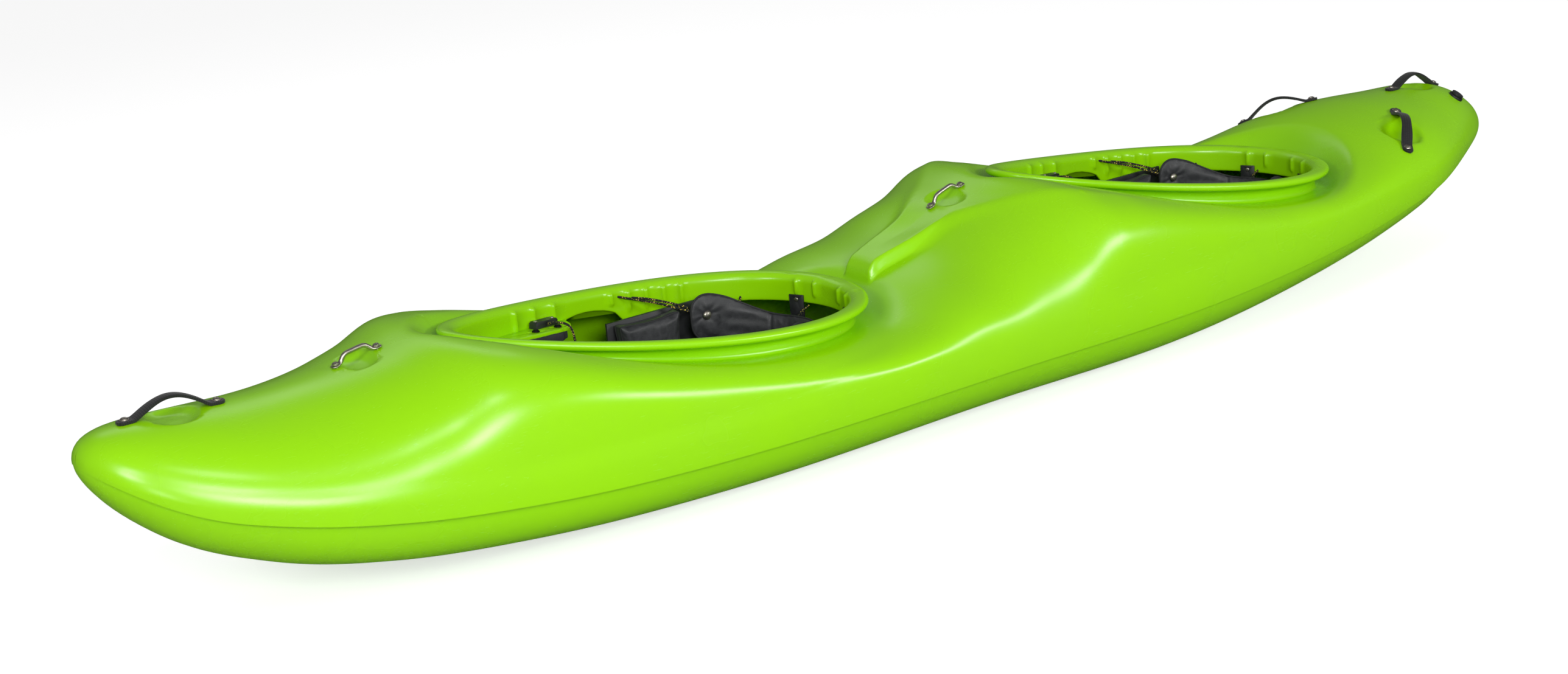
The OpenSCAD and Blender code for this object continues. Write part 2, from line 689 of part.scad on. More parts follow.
module stern_handle() {
  webbing(stern_handle_ends);
}
module quarter_handle(s) {
  webbing(quarter_ends(s));
}
module handle_screws() {
  color(steel)
    for (e = all_handle_ends, s = [-1, 1])
      on_webbing(e)
        translate([s * norm(e[1] - e[0]) / 2, 0, strap_thick])
          screw(screw_d, screw_head_d, 3.5, strap_thick + wall + 4);
}

// Security bars
front_bar_ends = line_ends(front_bar_dish[0], bar_span);
mid_bar_ends = line_ends(mid_bar_dish[0], bar_span);
bar_foot_d = 18;
bar_foot_h = 5;
// One half of the rod's line, from its foot: distance towards the middle, and share of the rise.
bar_bend = [[0, 0.15], [4, 0.24], [9, 0.56], [14, 0.86], [19, 0.98], [25, 1]];
bar_sides = 12;
module on_bar(ends) {
  on_deck(ends, bar_foot_d / 2, bar_foot_d / 2)
    children();
}
module security_bar(ends) {
  span = norm(ends[1] - ends[0]);
  foot = span / 2 - bar_foot_d / 2 + 1.4;
  half = [for (b = bar_bend) [foot - b[0], 0, bar_rise * b[1]]];
  route = concat(
    [for (p = half) [-p[0], p[1], p[2]]],
    [for (i = [len(half) - 1:-1:0]) half[i]]
  );
  color(steel)
    on_bar(ends)
      difference() {
        union() {
          for (s = [-1, 1])
            translate([s * span / 2, 0, 0])
              cylinder(d = bar_foot_d, h = bar_foot_h);
          loft(tube_rings(route, bar_d, bar_sides));
        }
        for (s = [-1, 1])
          translate([s * span / 2, 0, -bar_d])
            cylinder(d = screw_d + 1, h = 3 * bar_d);
        translate([-span, -span, -bar_d])
          cube([2 * span, 2 * span, bar_d]);
      }
}
module front_security_bar() {
  security_bar(front_bar_ends);
}
module mid_security_bar() {
  security_bar(mid_bar_ends);
}
module security_bar_bolts() {
  color(steel)
    for (e = [front_bar_ends, mid_bar_ends], s = [-1, 1])
      on_bar(e)
        translate([s * norm(e[1] - e[0]) / 2, 0, bar_foot_h])
          screw(screw_d, 12, 4, bar_foot_h + wall + 6);
}

// Drain: socket let into the deck, plug with a coin slot and a gasket under its head
drain_spot = [drain_x, drain_side, deck_z(drain_x, drain_side)];
drain_sink = 5;
gasket_thick = 1.5;
plug_head_d = drain_socket_d - 6;
plug_head_h = 4;
shank_lift = 0.5;
module at_drain() {
  n = deck_normal(drain_spot);
  translate(drain_spot)
    rotate([0, acos(n[2]), atan2(n[1], n[0])])
      children();
}
module drain_socket() {
  color(black)
    at_drain()
      difference() {
        translate([0, 0, -drain_sink])
          cylinder(d = drain_socket_d, h = drain_socket_h + drain_sink);
        translate([0, 0, -drain_sink - 1])
          cylinder(d = drain_plug_d + 2 * pin_gap, h = drain_socket_h + drain_sink + 2);
      }
}
module drain_gasket() {
  color(dark_grey)
    at_drain()
      translate([0, 0, drain_socket_h + seat_gap])
        difference() {
          cylinder(d = plug_head_d - 2, h = gasket_thick);
          translate([0, 0, -1])
            cylinder(d = drain_plug_d + 1, h = gasket_thick + 2);
        }
}
module drain_plug() {
  seat = drain_socket_h + 2 * seat_gap + gasket_thick;
  color(black)
    at_drain()
      difference() {
        union() {
          translate([0, 0, seat])
            cylinder(d = plug_head_d, h = plug_head_h);
          translate([0, 0, shank_lift])
            cylinder(d = drain_plug_d, h = seat - shank_lift + 1);
        }
        translate([-plug_head_d / 2, -2, seat + plug_head_h - 3])
          cube([plug_head_d, 4, 4]);
      }
}

// Seats. A seat stands on the floor at both ends of its base, so it takes the floor's slope.
function seat_span(c) = [cockpit_x[c] + seat_front - seat_length, cockpit_x[c] + seat_front];
function seat_foot_z(x) = floor_z(x, seat_base_width / 2) + curve_gap;
function seat_tilt(c) =
  let (s = seat_span(c)) atan2(seat_foot_z(s[1]) - seat_foot_z(s[0]), seat_length);
function seat_back_z(c) = seat_foot_z(seat_span(c)[0]);
module at_seat(c) {
  translate([seat_span(c)[0], 0, seat_back_z(c)])
    rotate([0, -seat_tilt(c), 0])
      children();
}
seat_flare = 46;
seat_half = seat_inner_width / 2;
module seat_outline() {
  b = seat_base_width / 2;
  polygon([
    [-b, 0], [b, 0], [seat_half + seat_wall, seat_flare], [seat_half + seat_wall, seat_side_height],
    [seat_half, seat_side_height], [seat_half, seat_flare + 4], [b - 3, seat_wall], [-b + 3, seat_wall],
    [-seat_half, seat_flare + 4], [-seat_half, seat_side_height], [-seat_half - seat_wall, seat_side_height],
    [-seat_half - seat_wall, seat_flare]
  ]);
}
hip_front = 15;
function hip_x(c) = cockpit_x[c] - hip_front - hip_length / 2;
function hip_top(c) = rim_line_z(c, hip_x(c)) - hip_drop + 6;
function pivot_x(c) = cockpit_x[c] - band_end_x - pivot_inset;
function pivot_z(c) = rim_line_z(c, cockpit_x[c]) - pivot_drop;
module seat_pan(c) {
  low = seat_flare + 14;
  color(black)
    difference() {
      at_seat(c)
        difference() {
          rotate([90, 0, 90])
            linear_extrude(seat_length)
              seat_outline();
          translate([-1, -hull_beam / 2, low])
            cube([seat_length - seat_side_length + 1, hull_beam, seat_side_height]);
          translate([seat_length - seat_low_length, -hull_beam / 2, seat_low_height])
            cube([seat_low_length + 1, hull_beam, seat_side_height]);
        }
      translate([seat_span(c)[0] - seat_length, -hull_beam / 2, hip_top(c) - 4])
        cube([3 * seat_length, hull_beam, seat_side_height]);
      translate([pivot_x(c), -hull_beam / 2, pivot_z(c)])
        rotate([-90, 0, 0])
          cylinder(d = pivot_d + 2 * pin_gap, h = hull_beam);
    }
}
// A pad whose section is a rounded box: half sizes, with its ends drawn in.
function pad_rings(lx, ly, lz, steps, count, corner) = [
  for (i = [0:steps])
    let (
      u = -cos(180 * i / steps),
      k = 0.35 + 0.65 * pow(max(0, 1 - pow(abs(u), 6)), 1 / 3)
    )
    [for (j = [0:count - 1])
      let (t = -360 * j / count)
      [u * lx, k * ly * power(cos(t), corner), k * lz * power(sin(t), corner)]]
];
module seat_pad(c) {
  length = seat_length - 60;
  breadth = seat_base_width - 24;
  color(dark_grey)
    at_seat(c)
      translate([30 + length / 2, 0, seat_wall + seat_gap + seat_pad_thick / 2])
        loft(pad_rings(length / 2, breadth / 2, seat_pad_thick / 2, 12, 20, 0.5));
}
module hip_pad(c, s) {
  color(black)
    translate([hip_x(c), s * (seat_half - hip_thick / 2 - seat_gap), hip_top(c) - hip_height / 2])
      loft(pad_rings(hip_length / 2, hip_thick / 2, hip_height / 2, 12, 20, 0.55));
}

// Backbands: a padded band on half an ellipse, open to the front, with its ends standing up
band_steps = 26;
band_count = 20;
function band_x(c, u) = cockpit_x[c] - band_end_x - band_depth * cos(90 * u);
function band_y(u) = band_half_width * sin(90 * u);
function band_top(c, u) =
  rim_line_z(c, cockpit_x[c]) - band_top_drop + band_wing_rise * ease(0.15, 0.95, abs(u));
function band_low(c, u) =
  rim_line_z(c, cockpit_x[c]) - band_top_drop - band_height + band_wing_rise * 0.9 * ease(0.3, 1, abs(u));
function band_ring(c, u, k) =
  let (
    out = [band_depth * cos(90 * u) / band_depth, band_depth * sin(90 * u) / band_half_width],
    n = [-out[0], out[1]] / norm(out),
    mid = (band_top(c, u) + band_low(c, u)) / 2,
    half = (band_top(c, u) - band_low(c, u)) / 2
  )
  [for (j = [0:band_count - 1])
    let (
      t = -360 * j / band_count,
      d = band_thick / 2 * power(cos(t), 0.8) * (0.4 + 0.6 * k),
      z = half * power(sin(t), 0.7) * k
    )
    [band_x(c, u) + n[0] * d, band_y(u) + n[1] * d, mid + z]];
module backband(c) {
  color(black)
    loft([
      for (i = [0:band_steps])
        let (
          u = sin(90 * (2 * i / band_steps - 1)),
          k = 0.3 + 0.7 * pow(max(0, 1 - pow(abs(u), 16)), 1 / 2)
        )
        band_ring(c, u, k)
    ]);
}
button_d = 20;
button_h = 5;
module backband_pivots(c) {
  inside = band_half_width - band_thick / 2 - 2;
  color(steel)
    both_sides()
      translate([pivot_x(c), 0, pivot_z(c)])
        rotate([-90, 0, 0]) {
          translate([0, 0, inside - button_h])
            cylinder(d1 = button_d * 0.7, d2 = button_d, h = button_h);
          translate([0, 0, inside - 1])
            cylinder(d = pivot_d, h = seat_half + seat_wall + 3 - inside);
        }
}

// Cords: tubes along hand-chosen points, measured from the rim's middle and its height
adjust_route = [
  [-60, 241, -25], [-95, 218, -36], [-130, 197, -48], [-160, 181, -61], [-188.5, 165.7, -74.2]
];
support_route = [[-332, 184, -78], [-321, 172, -88], [-310, 160, -97], [-297.8, 147.8, -105.8]];
back_route = [[-421, 63, -99], [-405, 61, -105], [-390, 59, -112], [-371.5, 57, -122]];
tail_route = [
  [150, 179, -36.7], [146, 168, -36.7], [138, 151, -32], [127, 134, -32], [119, 124, -42],
  [116, 120, -70], [117, 121, -98]
];
function route_way(r, i) =
  let (d = r[min(len(r) - 1, i + 1)] - r[max(0, i - 1)]) d / norm(d);
function tube_rings(r, d, sides = 8) = [
  for (i = [0:len(r) - 1])
    let (
      w = route_way(r, i),
      a = cross(w, [0.02, 0.1, 1]),
      e = a / norm(a),
      f = cross(w, e)
    )
    [for (j = [0:sides - 1]) let (a = 360 * j / sides) r[i] + d / 2 * (cos(a) * e - sin(a) * f)]
];
module cord(c, route, slope = 0) {
  sloped = [for (p = route) p + [0, 0, slope * p[0]]];
  translate([cockpit_x[c], 0, rim_line_z(c, cockpit_x[c])])
    loft(tube_rings(sloped, cord_d));
}
module adjust_cords(c) {
  color(black)
    both_sides()
      cord(c, adjust_route);
}
module support_cords(c) {
  color(black)
    both_sides() {
      cord(c, support_route);
      cord(c, back_route);
    }
}
module cleat_cords(c) {
  color(black)
    both_sides()
      cord(c, tail_route, rim_slope[c]);
}

// Straps riveted to the skirt behind the band
strap_from = 14;
strap_drop = 40;
strap_long = 56;
strap_rivet_drop = 10;
rear_strap_thick = 3;
rivet_d = 5;
function skirt_inside(c, l) =
  let (
    p = ring_point(c, l, [wall_inset, 0])
  )
  [p[0], p[1], 0];
module at_strap(c) {
  a = skirt_inside(c, strap_from);
  b = skirt_inside(c, strap_from + 1);
  m = (a + b) / 2;
  translate([m[0], m[1], rim_z(c, m[0]) - strap_drop])
    rotate([0, 0, atan2(b[1] - a[1], b[0] - a[0])])
      children();
}
module rear_straps(c) {
  color(black)
    both_sides()
      at_strap(c)
        difference() {
          translate([-17, seat_gap, -strap_long])
            cube([34, rear_strap_thick, strap_long]);
          translate([0, -1, -strap_rivet_drop])
            rotate([-90, 0, 0])
              cylinder(d = rivet_d + 0.4, h = rear_strap_thick + 2);
        }
}
module strap_rivets(c) {
  color(steel)
    both_sides()
      at_strap(c)
        translate([0, seat_gap + rear_strap_thick, -strap_rivet_drop])
          rotate([-90, 0, 0]) {
            cylinder(d1 = 11, d2 = 8, h = 2.5);
            translate([0, 0, -coaming_wall / 2 - rear_strap_thick])
              cylinder(d = rivet_d, h = coaming_wall / 2 + rear_strap_thick + 1);
          }
}

// Thigh hooks: plates inside the coaming, level with the rim's slope
hook_first = 3;
hook_last = 7;
hook_gap = 0.4;
function hook_z(c, x) = rim_line_z(c, x) - hook_drop;
function plan_point(c, l, inset) = [rim_x(c, loop_turn(l), inset), rim_y(c, loop_turn(l), inset)];
function hook_outline(c) =
  let (e = wall_inset)
  concat(
    [for (l = [hook_first:hook_last]) plan_point(c, l, e + hook_gap)],
    [for (l = [hook_last - 0.25, hook_last - 0.6, hook_last - 1.2])
      plan_point(c, l, e + hook_reach * (l > hook_last - 0.3 ? 0.72 : 1))],
    [for (l = [hook_last - 1.9:-0.7:hook_first + 0.4])
      plan_point(c, l, e + hook_reach * ease(hook_first - 1.4, hook_last - 1.6, l))]
  );
// Upright prism over an outline, with sloping top and bottom faces.
module sloped_prism(c, outline, top, bottom) {
  n = len(outline);
  polyhedron(
    points = concat(
      [for (p = outline) [p[0], p[1], hook_z(c, p[0]) + bottom]],
      [for (p = outline) [p[0], p[1], hook_z(c, p[0]) + top]]
    ),
    faces = concat(
      [[for (i = [0:n - 1]) i]],
      [[for (i = [n - 1:-1:0]) n + i]],
      [for (i = [0:n - 1]) [i, n + i, n + (i + 1) % n, (i + 1) % n]]
    )
  );
}
thigh_bolt_turn = 5.85;
thigh_bolt_inset = 40;
function thigh_middle(c) = plan_point(c, thigh_bolt_turn, wall_inset + thigh_bolt_inset);
module on_hook(c, p) {
  translate([p[0], p[1], hook_z(c, p[0])])
    rotate([0, -atan(rim_slope[c]), 0])
      children();
}
module at_bolts(c) {
  p = thigh_middle(c);
  on_hook(c, p)
    for (s = [-0.5, 0.5])
      translate([s * thigh_bolt_gap, -s * 16, 0])
        children();
}
module slot(d, travel) {
  translate([0, 0, -hook_thick - 2])
    linear_extrude(hook_thick + 4) {
      translate([-travel, -d / 2])
        square([2 * travel, d]);
      for (s = [-1, 1])
        translate([s * travel, 0])
          circle(d = d);
    }
}
module thigh_hook(c, s) {
  color(lime)
    side(s)
      difference() {
        sloped_prism(c, hook_outline(c), 0, -hook_thick);
        at_bolts(c)
          slot(thigh_bolt_d + 1, thigh_travel);
      }
}
function thigh_outline(c) =
  let (e = wall_inset)
  concat(
    [for (l = [hook_first + 0.9:0.6:hook_last - 0.6]) plan_point(c, l, e + 16)],
    [for (l = [hook_last - 0.5, hook_last - 0.9, hook_last - 1.5])
      plan_point(c, l, e + (hook_reach + 6) * (l > hook_last - 0.6 ? 0.75 : 1))],
    [for (l = [hook_last - 2.2:-0.7:hook_first + 0.9])
      plan_point(c, l, e + (hook_reach + 6) * max(0.42, ease(hook_first - 1.4, hook_last - 1.6, l)))]
  );
module thigh_pad(c, s) {
  top = -hook_thick - seat_gap;
  color(dark_grey)
    side(s)
      difference() {
        sloped_prism(c, thigh_outline(c), top, top - thigh_pad_thick);
        at_bolts(c)
          translate([0, 0, -hook_thick - thigh_pad_thick / 2])
            cylinder(d = thigh_bolt_d + 0.4, h = thigh_pad_thick);
      }
}
washer_d = 16;
module thigh_bolts(c, s) {
  color(steel)
    side(s)
      at_bolts(c) {
        translate([0, 0, seat_gap])
          cylinder(d = washer_d, h = 2);
        translate([0, 0, seat_gap + 2])
          cylinder(d1 = thigh_bolt_d * 1.8, d2 = thigh_bolt_d * 1.2, h = 3);
        translate([0, 0, -hook_thick - thigh_pad_thick / 2 + 0.5])
          cylinder(d = thigh_bolt_d, h = hook_thick + thigh_pad_thick / 2 + seat_gap + 1);
      }
}

// Cleats on the hooks, close to the coaming wall
cleat_turn = 6.1;
cleat_inset = 14;
cleat_yaw = -19;
module at_cleat(c) {
  on_hook(c, plan_point(c, cleat_turn, wall_inset + cleat_inset))
    rotate([0, 0, cleat_yaw])
      children();
}
module cleats(c) {
  color(black)
    both_sides()
      at_cleat(c)
        translate([0, 0, seat_gap])
          difference() {
            rotate([90, 0, 0])
              translate([0, 0, -cleat_width / 2])
                linear_extrude(cleat_width)
                  polygon([
                    [-cleat_length / 2, 0], [cleat_length / 2, 0], [cleat_length / 2, cleat_height - 4],
                    [cleat_length / 2 - 4, cleat_height], [-cleat_length / 2 + 4, cleat_height],
                    [-cleat_length / 2, cleat_height - 4]
                  ]);
            translate([0, 0, cleat_height / 2])
              rotate([90, 0, 0])
                cylinder(d = cord_d + 4 * seat_gap, h = 2 * cleat_width, center = true);
            for (s = [-1, 1])
              translate([s * (cleat_length / 2 - 8), 0, -1])
                cylinder(d = cleat_screw_d + 0.4, h = cleat_height + 2);
          }
}
module cleat_screws(c) {
  color(steel)
    both_sides()
      at_cleat(c)
        for (s = [-1, 1])
          translate([s * (cleat_length / 2 - 8), 0, cleat_height + seat_gap])
            screw(cleat_screw_d, 9, 2, cleat_height + seat_gap + hook_thick / 2);
}

// Foot bulkheads: rails fixed to the seat's side walls, and a plate that slides along them
function rail_z(c, x) =
  pivot_z(c) - 92 + rail_slope * (x - cockpit_x[c]);
rail_start = -8;
rail_angle = atan(rail_slope);
bracket_length = 40;
bracket_wall = 5;
bulkhead_at = bulkhead_reach * stretch;
rail_end = bulkhead_at + bulkhead_travel + bracket_length / 2 + rail_past;
rail_length = (rail_end - rail_start) / cos(rail_angle);
module at_rails(c, x) {
  translate([x, 0, rail_z(c, x)])
    rotate([0, -rail_angle, 0])
      children();
}
module foot_rails(c) {
  color(steel)
    both_sides()
      at_rails(c, cockpit_x[c] + rail_start)
        translate([0, seat_half - rail_thick - seat_gap, -rail_height / 2])
          cube([rail_length, rail_thick, rail_height]);
}
module foot_bulkhead(c) {
  inside = seat_half - rail_thick - seat_gap;
  slip = seat_gap;
  color(steel)
    at_rails(c, cockpit_x[c] + bulkhead_at) {
      translate([-bulkhead_thick / 2, -bulkhead_width / 2, -bulkhead_height / 2 - bulkhead_drop])
        cube([bulkhead_thick, bulkhead_width, bulkhead_height]);
      both_sides()
        difference() {
          translate([-bracket_length / 2, bulkhead_width / 2 - 1, -rail_height / 2 - bracket_wall])
            cube([
              bracket_length,
              inside + rail_thick + bracket_wall - bulkhead_width / 2,
              rail_height + 2 * bracket_wall
            ]);
          translate([-bracket_length, inside - slip, -rail_height / 2 - slip])
            cube([2 * bracket_length, rail_thick + 2 * slip, rail_height + 2 * slip]);
        }
    }
}
module foot_pad(c) {
  margin = 10;
  color(dark_grey)
    at_rails(c, cockpit_x[c] + bulkhead_at)
      translate([
        -bulkhead_thick / 2 - seat_gap - bulkhead_foam,
        -bulkhead_width / 2 + margin,
        -bulkhead_height / 2 - bulkhead_drop + margin
      ])
        cube([bulkhead_foam, bulkhead_width - 2 * margin, bulkhead_height - 2 * margin]);
}

// Foam pillars on the middle line, from the floor to the deck
pillar_deck_gap = 3;
bow_pillar_end = bow_dish[0] - bow_dish[1] - 15;
// The bow pillar stays ahead of the front bulkhead at the end of its travel.
pillar_bulkhead_gap = 20;
front_bulkhead_reach = cockpit_x[front] + bulkhead_at + bulkhead_travel + bulkhead_thick / 2;
bow_pillar_start = max(bow_pillar_end - bow_pillar_length, front_bulkhead_reach + pillar_bulkhead_gap);
stern_pillar_start = stern_dish[0] + stern_dish[1] + 15;
module pillar(a, b) {
  steps = 8;
  y = pillar_thick / 2;
  along = [for (i = [0:steps]) a + (b - a) * i / steps];
  color(dark_grey)
    rotate([90, 0, 0])
      translate([0, 0, -y])
        linear_extrude(pillar_thick)
          polygon(concat(
            [for (x = [a, b]) [x, floor_z(x, y) + curve_gap]],
            [for (i = [steps:-1:0]) [along[i], ceiling_z(along[i], y) - pillar_deck_gap]]
          ));
}
module bow_foam_pillar() {
  pillar(bow_pillar_start, bow_pillar_end);
}
module stern_foam_pillar() {
  pillar(stern_pillar_start, stern_pillar_start + stern_pillar_length);
}

hull_shell();
bow_handle();
stern_handle();
quarter_handle(port);  // port_quarter_handle
quarter_handle(starboard);  // starboard_quarter_handle
handle_screws();
front_security_bar();
mid_security_bar();
security_bar_bolts();
drain_socket();
drain_gasket();
drain_plug();
seat_pan(front);  // front_seat_pan
seat_pad(front);  // front_seat_pad
hip_pad(front, port);  // front_port_hip_pad
hip_pad(front, starboard);  // front_starboard_hip_pad
backband(front);  // front_backband
backband_pivots(front);  // front_backband_pivots
adjust_cords(front);  // front_adjust_cords
support_cords(front);  // front_support_cords
rear_straps(front);  // front_rear_straps
strap_rivets(front);  // front_strap_rivets
thigh_hook(front, port);  // front_port_thigh_hook
thigh_hook(front, starboard);  // front_starboard_thigh_hook
thigh_pad(front, port);  // front_port_thigh_pad
thigh_pad(front, starboard);  // front_starboard_thigh_pad
thigh_bolts(front, port);  // front_port_thigh_bolts
thigh_bolts(front, starboard);  // front_starboard_thigh_bolts
cleats(front);  // front_cleats
cleat_screws(front);  // front_cleat_screws
cleat_cords(front);  // front_cleat_cords
foot_rails(front);  // front_foot_rails
foot_bulkhead(front);  // front_foot_bulkhead
foot_pad(front);  // front_foot_pad
seat_pan(rear);  // rear_seat_pan
seat_pad(rear);  // rear_seat_pad
hip_pad(rear, port);  // rear_port_hip_pad
hip_pad(rear, starboard);  // rear_starboard_hip_pad
backband(rear);  // rear_backband
backband_pivots(rear);  // rear_backband_pivots
adjust_cords(rear);  // rear_adjust_cords
support_cords(rear);  // rear_support_cords
rear_straps(rear);  // rear_rear_straps
strap_rivets(rear);  // rear_strap_rivets
thigh_hook(rear, port);  // rear_port_thigh_hook
thigh_hook(rear, starboard);  // rear_starboard_thigh_hook
thigh_pad(rear, port);  // rear_port_thigh_pad
thigh_pad(rear, starboard);  // rear_starboard_thigh_pad
thigh_bolts(rear, port);  // rear_port_thigh_bolts
thigh_bolts(rear, starboard);  // rear_starboard_thigh_bolts
cleats(rear);  // rear_cleats
cleat_screws(rear);  // rear_cleat_screws
cleat_cords(rear);  // rear_cleat_cords
foot_rails(rear);  // rear_foot_rails
foot_bulkhead(rear);  // rear_foot_bulkhead
foot_pad(rear);  // rear_foot_pad
bow_foam_pillar();
stern_foam_pillar();
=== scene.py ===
"""Dresses the tandem kayak: moulded hull, handles, bars, cords, padded outfitting and a studio."""

import json
import math
from contextlib import contextmanager

import bmesh
import bpy
import numpy as np
from bpy.props import FloatProperty, FloatVectorProperty, PointerProperty
from mathutils import Matrix, Vector
from mathutils.bvhtree import BVHTree

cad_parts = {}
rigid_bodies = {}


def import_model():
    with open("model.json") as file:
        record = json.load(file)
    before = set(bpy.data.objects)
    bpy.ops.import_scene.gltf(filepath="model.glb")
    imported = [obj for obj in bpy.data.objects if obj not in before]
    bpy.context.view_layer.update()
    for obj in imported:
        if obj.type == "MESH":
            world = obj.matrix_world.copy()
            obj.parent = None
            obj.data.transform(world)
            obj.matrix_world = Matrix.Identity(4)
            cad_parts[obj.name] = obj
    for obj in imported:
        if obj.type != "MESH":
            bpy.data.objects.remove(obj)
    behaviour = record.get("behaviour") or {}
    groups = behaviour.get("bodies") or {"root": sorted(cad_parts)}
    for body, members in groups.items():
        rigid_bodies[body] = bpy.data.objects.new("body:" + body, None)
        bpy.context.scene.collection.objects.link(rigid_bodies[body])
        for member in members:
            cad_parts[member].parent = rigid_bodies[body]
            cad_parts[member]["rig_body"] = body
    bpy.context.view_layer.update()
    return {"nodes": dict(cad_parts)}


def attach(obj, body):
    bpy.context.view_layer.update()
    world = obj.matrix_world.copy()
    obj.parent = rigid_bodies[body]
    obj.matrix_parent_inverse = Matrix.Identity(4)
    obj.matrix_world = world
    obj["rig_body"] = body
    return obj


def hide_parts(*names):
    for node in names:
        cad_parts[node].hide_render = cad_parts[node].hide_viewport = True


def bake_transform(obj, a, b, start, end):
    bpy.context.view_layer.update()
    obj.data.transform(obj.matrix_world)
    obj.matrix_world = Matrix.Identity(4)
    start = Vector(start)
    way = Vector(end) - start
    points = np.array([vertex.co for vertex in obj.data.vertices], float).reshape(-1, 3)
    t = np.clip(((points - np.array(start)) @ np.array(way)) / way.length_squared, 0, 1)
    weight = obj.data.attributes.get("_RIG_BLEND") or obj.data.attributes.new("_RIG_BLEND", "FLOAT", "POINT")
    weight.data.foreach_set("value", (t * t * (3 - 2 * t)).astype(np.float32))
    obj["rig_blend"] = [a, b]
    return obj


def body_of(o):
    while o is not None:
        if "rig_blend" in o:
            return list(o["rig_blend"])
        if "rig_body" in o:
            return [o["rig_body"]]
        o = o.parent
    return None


bl_info = {
    "name": "Tandem kayak",
    "version": (1, 0, 0),
    "blender": (4, 5, 0),
    "location": "3D view, sidebar, Kayak",
    "description": "Builds the looks of a tandem whitewater kayak around its packed solids",
    "category": "Add Mesh",
}

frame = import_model()
MM = 0.001

# Lines of the hull: place along half the length, stern -1 to bow 1, then a share of a size.
HALF_LENGTH = 1830.0
HALF_BEAM = 365.0
GUNWALE = 200.0
DECK_RISE = 240.0
SHEER_LINE = (
    (-1, 1.28), (-0.87, 1.28), (-0.71, 1.21), (-0.55, 1.12), (-0.33, 1.04), (0, 1), (0.38, 1),
    (0.6, 1.04), (0.74, 1.11), (0.85, 1.26), (0.93, 1.46), (0.97, 1.63), (1, 1.78),
)
DEPTH_LINE = (
    (-1, 0.4), (-0.87, 0.58), (-0.77, 0.73), (-0.63, 0.88), (-0.5, 0.97), (-0.33, 1.06), (0, 1.02),
    (0.33, 1.02), (0.49, 0.96), (0.6, 0.9), (0.71, 0.83), (0.85, 0.76), (0.95, 0.69), (1, 0.63),
)
CROWN_LINE = (
    (-1, 0.48), (-0.93, 0.6), (-0.84, 0.555), (-0.755, 0.545), (-0.7, 0.485), (-0.645, 0.36),
    (-0.575, 0.275), (-0.465, 0.335), (-0.33, 0.575), (-0.245, 0.735), (-0.19, 0.86), (-0.11, 1),
    (-0.077, 0.925), (-0.038, 0.8), (0, 0.625), (0.066, 0.45), (0.11, 0.325), (0.164, 0.26),
    (0.273, 0.355), (0.383, 0.51), (0.49, 0.675), (0.546, 0.79), (0.6, 0.895), (0.645, 0.94),
    (0.683, 0.86), (0.727, 0.785), (0.792, 0.715), (0.85, 0.68), (0.93, 0.665), (1, 0.62),
)
DECK_SQUARENESS = (
    (-1, 2), (-0.82, 2), (-0.71, 2.2), (-0.6, 3), (-0.49, 3.4), (-0.33, 4.4), (-0.245, 5), (-0.165, 4),
    (-0.1, 2.4), (0, 2.4), (0.08, 3), (0.27, 3.6), (0.41, 4.4), (0.52, 5), (0.59, 4), (0.655, 2.6),
    (0.72, 2.1), (1, 2),
)
BILGE_SQUARENESS = (
    (-1, 2.2), (-0.77, 2.4), (-0.49, 2.6), (0.33, 2.6), (0.55, 2.8), (0.77, 2.8), (1, 2.2),
)
BOW_FULLNESS = 3.0
STERN_FULLNESS = 3.2
TIP_FULLNESS = 10
TAIL_PINCH = 0.26
TAIL_FROM = -0.73

# Rims of the front and rear cockpit, in millimetres.
FRONT = 0
REAR = 1
COCKPITS = ("front", "rear")
SIDES = (("port", 1), ("starboard", -1))
COCKPIT_X = (653.0, -714.0)
RIM_RISE = (139.0, 148.0)
RIM_SLOPE = (0.125, 0.155)
RIM_LENGTH = 466.0
RIM_WIDTH = 268.0
RIM_TAPER = 0.3
RIM_SAG = 20.0
LIP = 30.0
SKIRT = 75.0
# Reach of the rim's lines past its ends, the groove around it, and where the deck blends into it.
RIM_REACH = 1.3
GROOVE_DROP = 30.0
GROOVE_DROP_AFT = 18.0
RIM_BLEND = (-15, 65)

# Finger dishes on the middle line: x, half length, half breadth, depth.
BOW_DISH = (1650, 50, 56, 14)
FRONT_BAR_DISH = (1292, 34, 56, 14)
MID_BAR_DISH = (-106, 34, 56, 14)
STERN_DISH = (-1623, 46, 56, 14)
DISHES = (BOW_DISH, FRONT_BAR_DISH, MID_BAR_DISH, STERN_DISH)
# Scoops under the quarter handles: x, y, radius, depth.
SCOOP = (-1346, 194, 52, 20)
# Spine ridge behind the front cockpit, and the crest that leaves its edges.
RIDGE_FRONT = 150.0
RIDGE_HALF = 36.0
RIDGE_RISE = 27.0
CREST_RISE = 6.0
CREST_SOFT = 5.0
CREST_INNER = 40.0
CREST_OUTER = 24.0
CREST_LINE = (
    (-460, 264), (-400, 260), (-340, 248), (-255, 226), (-195, 184), (-150, 142), (-95, 102), (-50, 76),
    (0, 52), (75, 44), (150, 36),
)
# Gap between the deck and what stands on it.
FOOT_GAP = 0.7


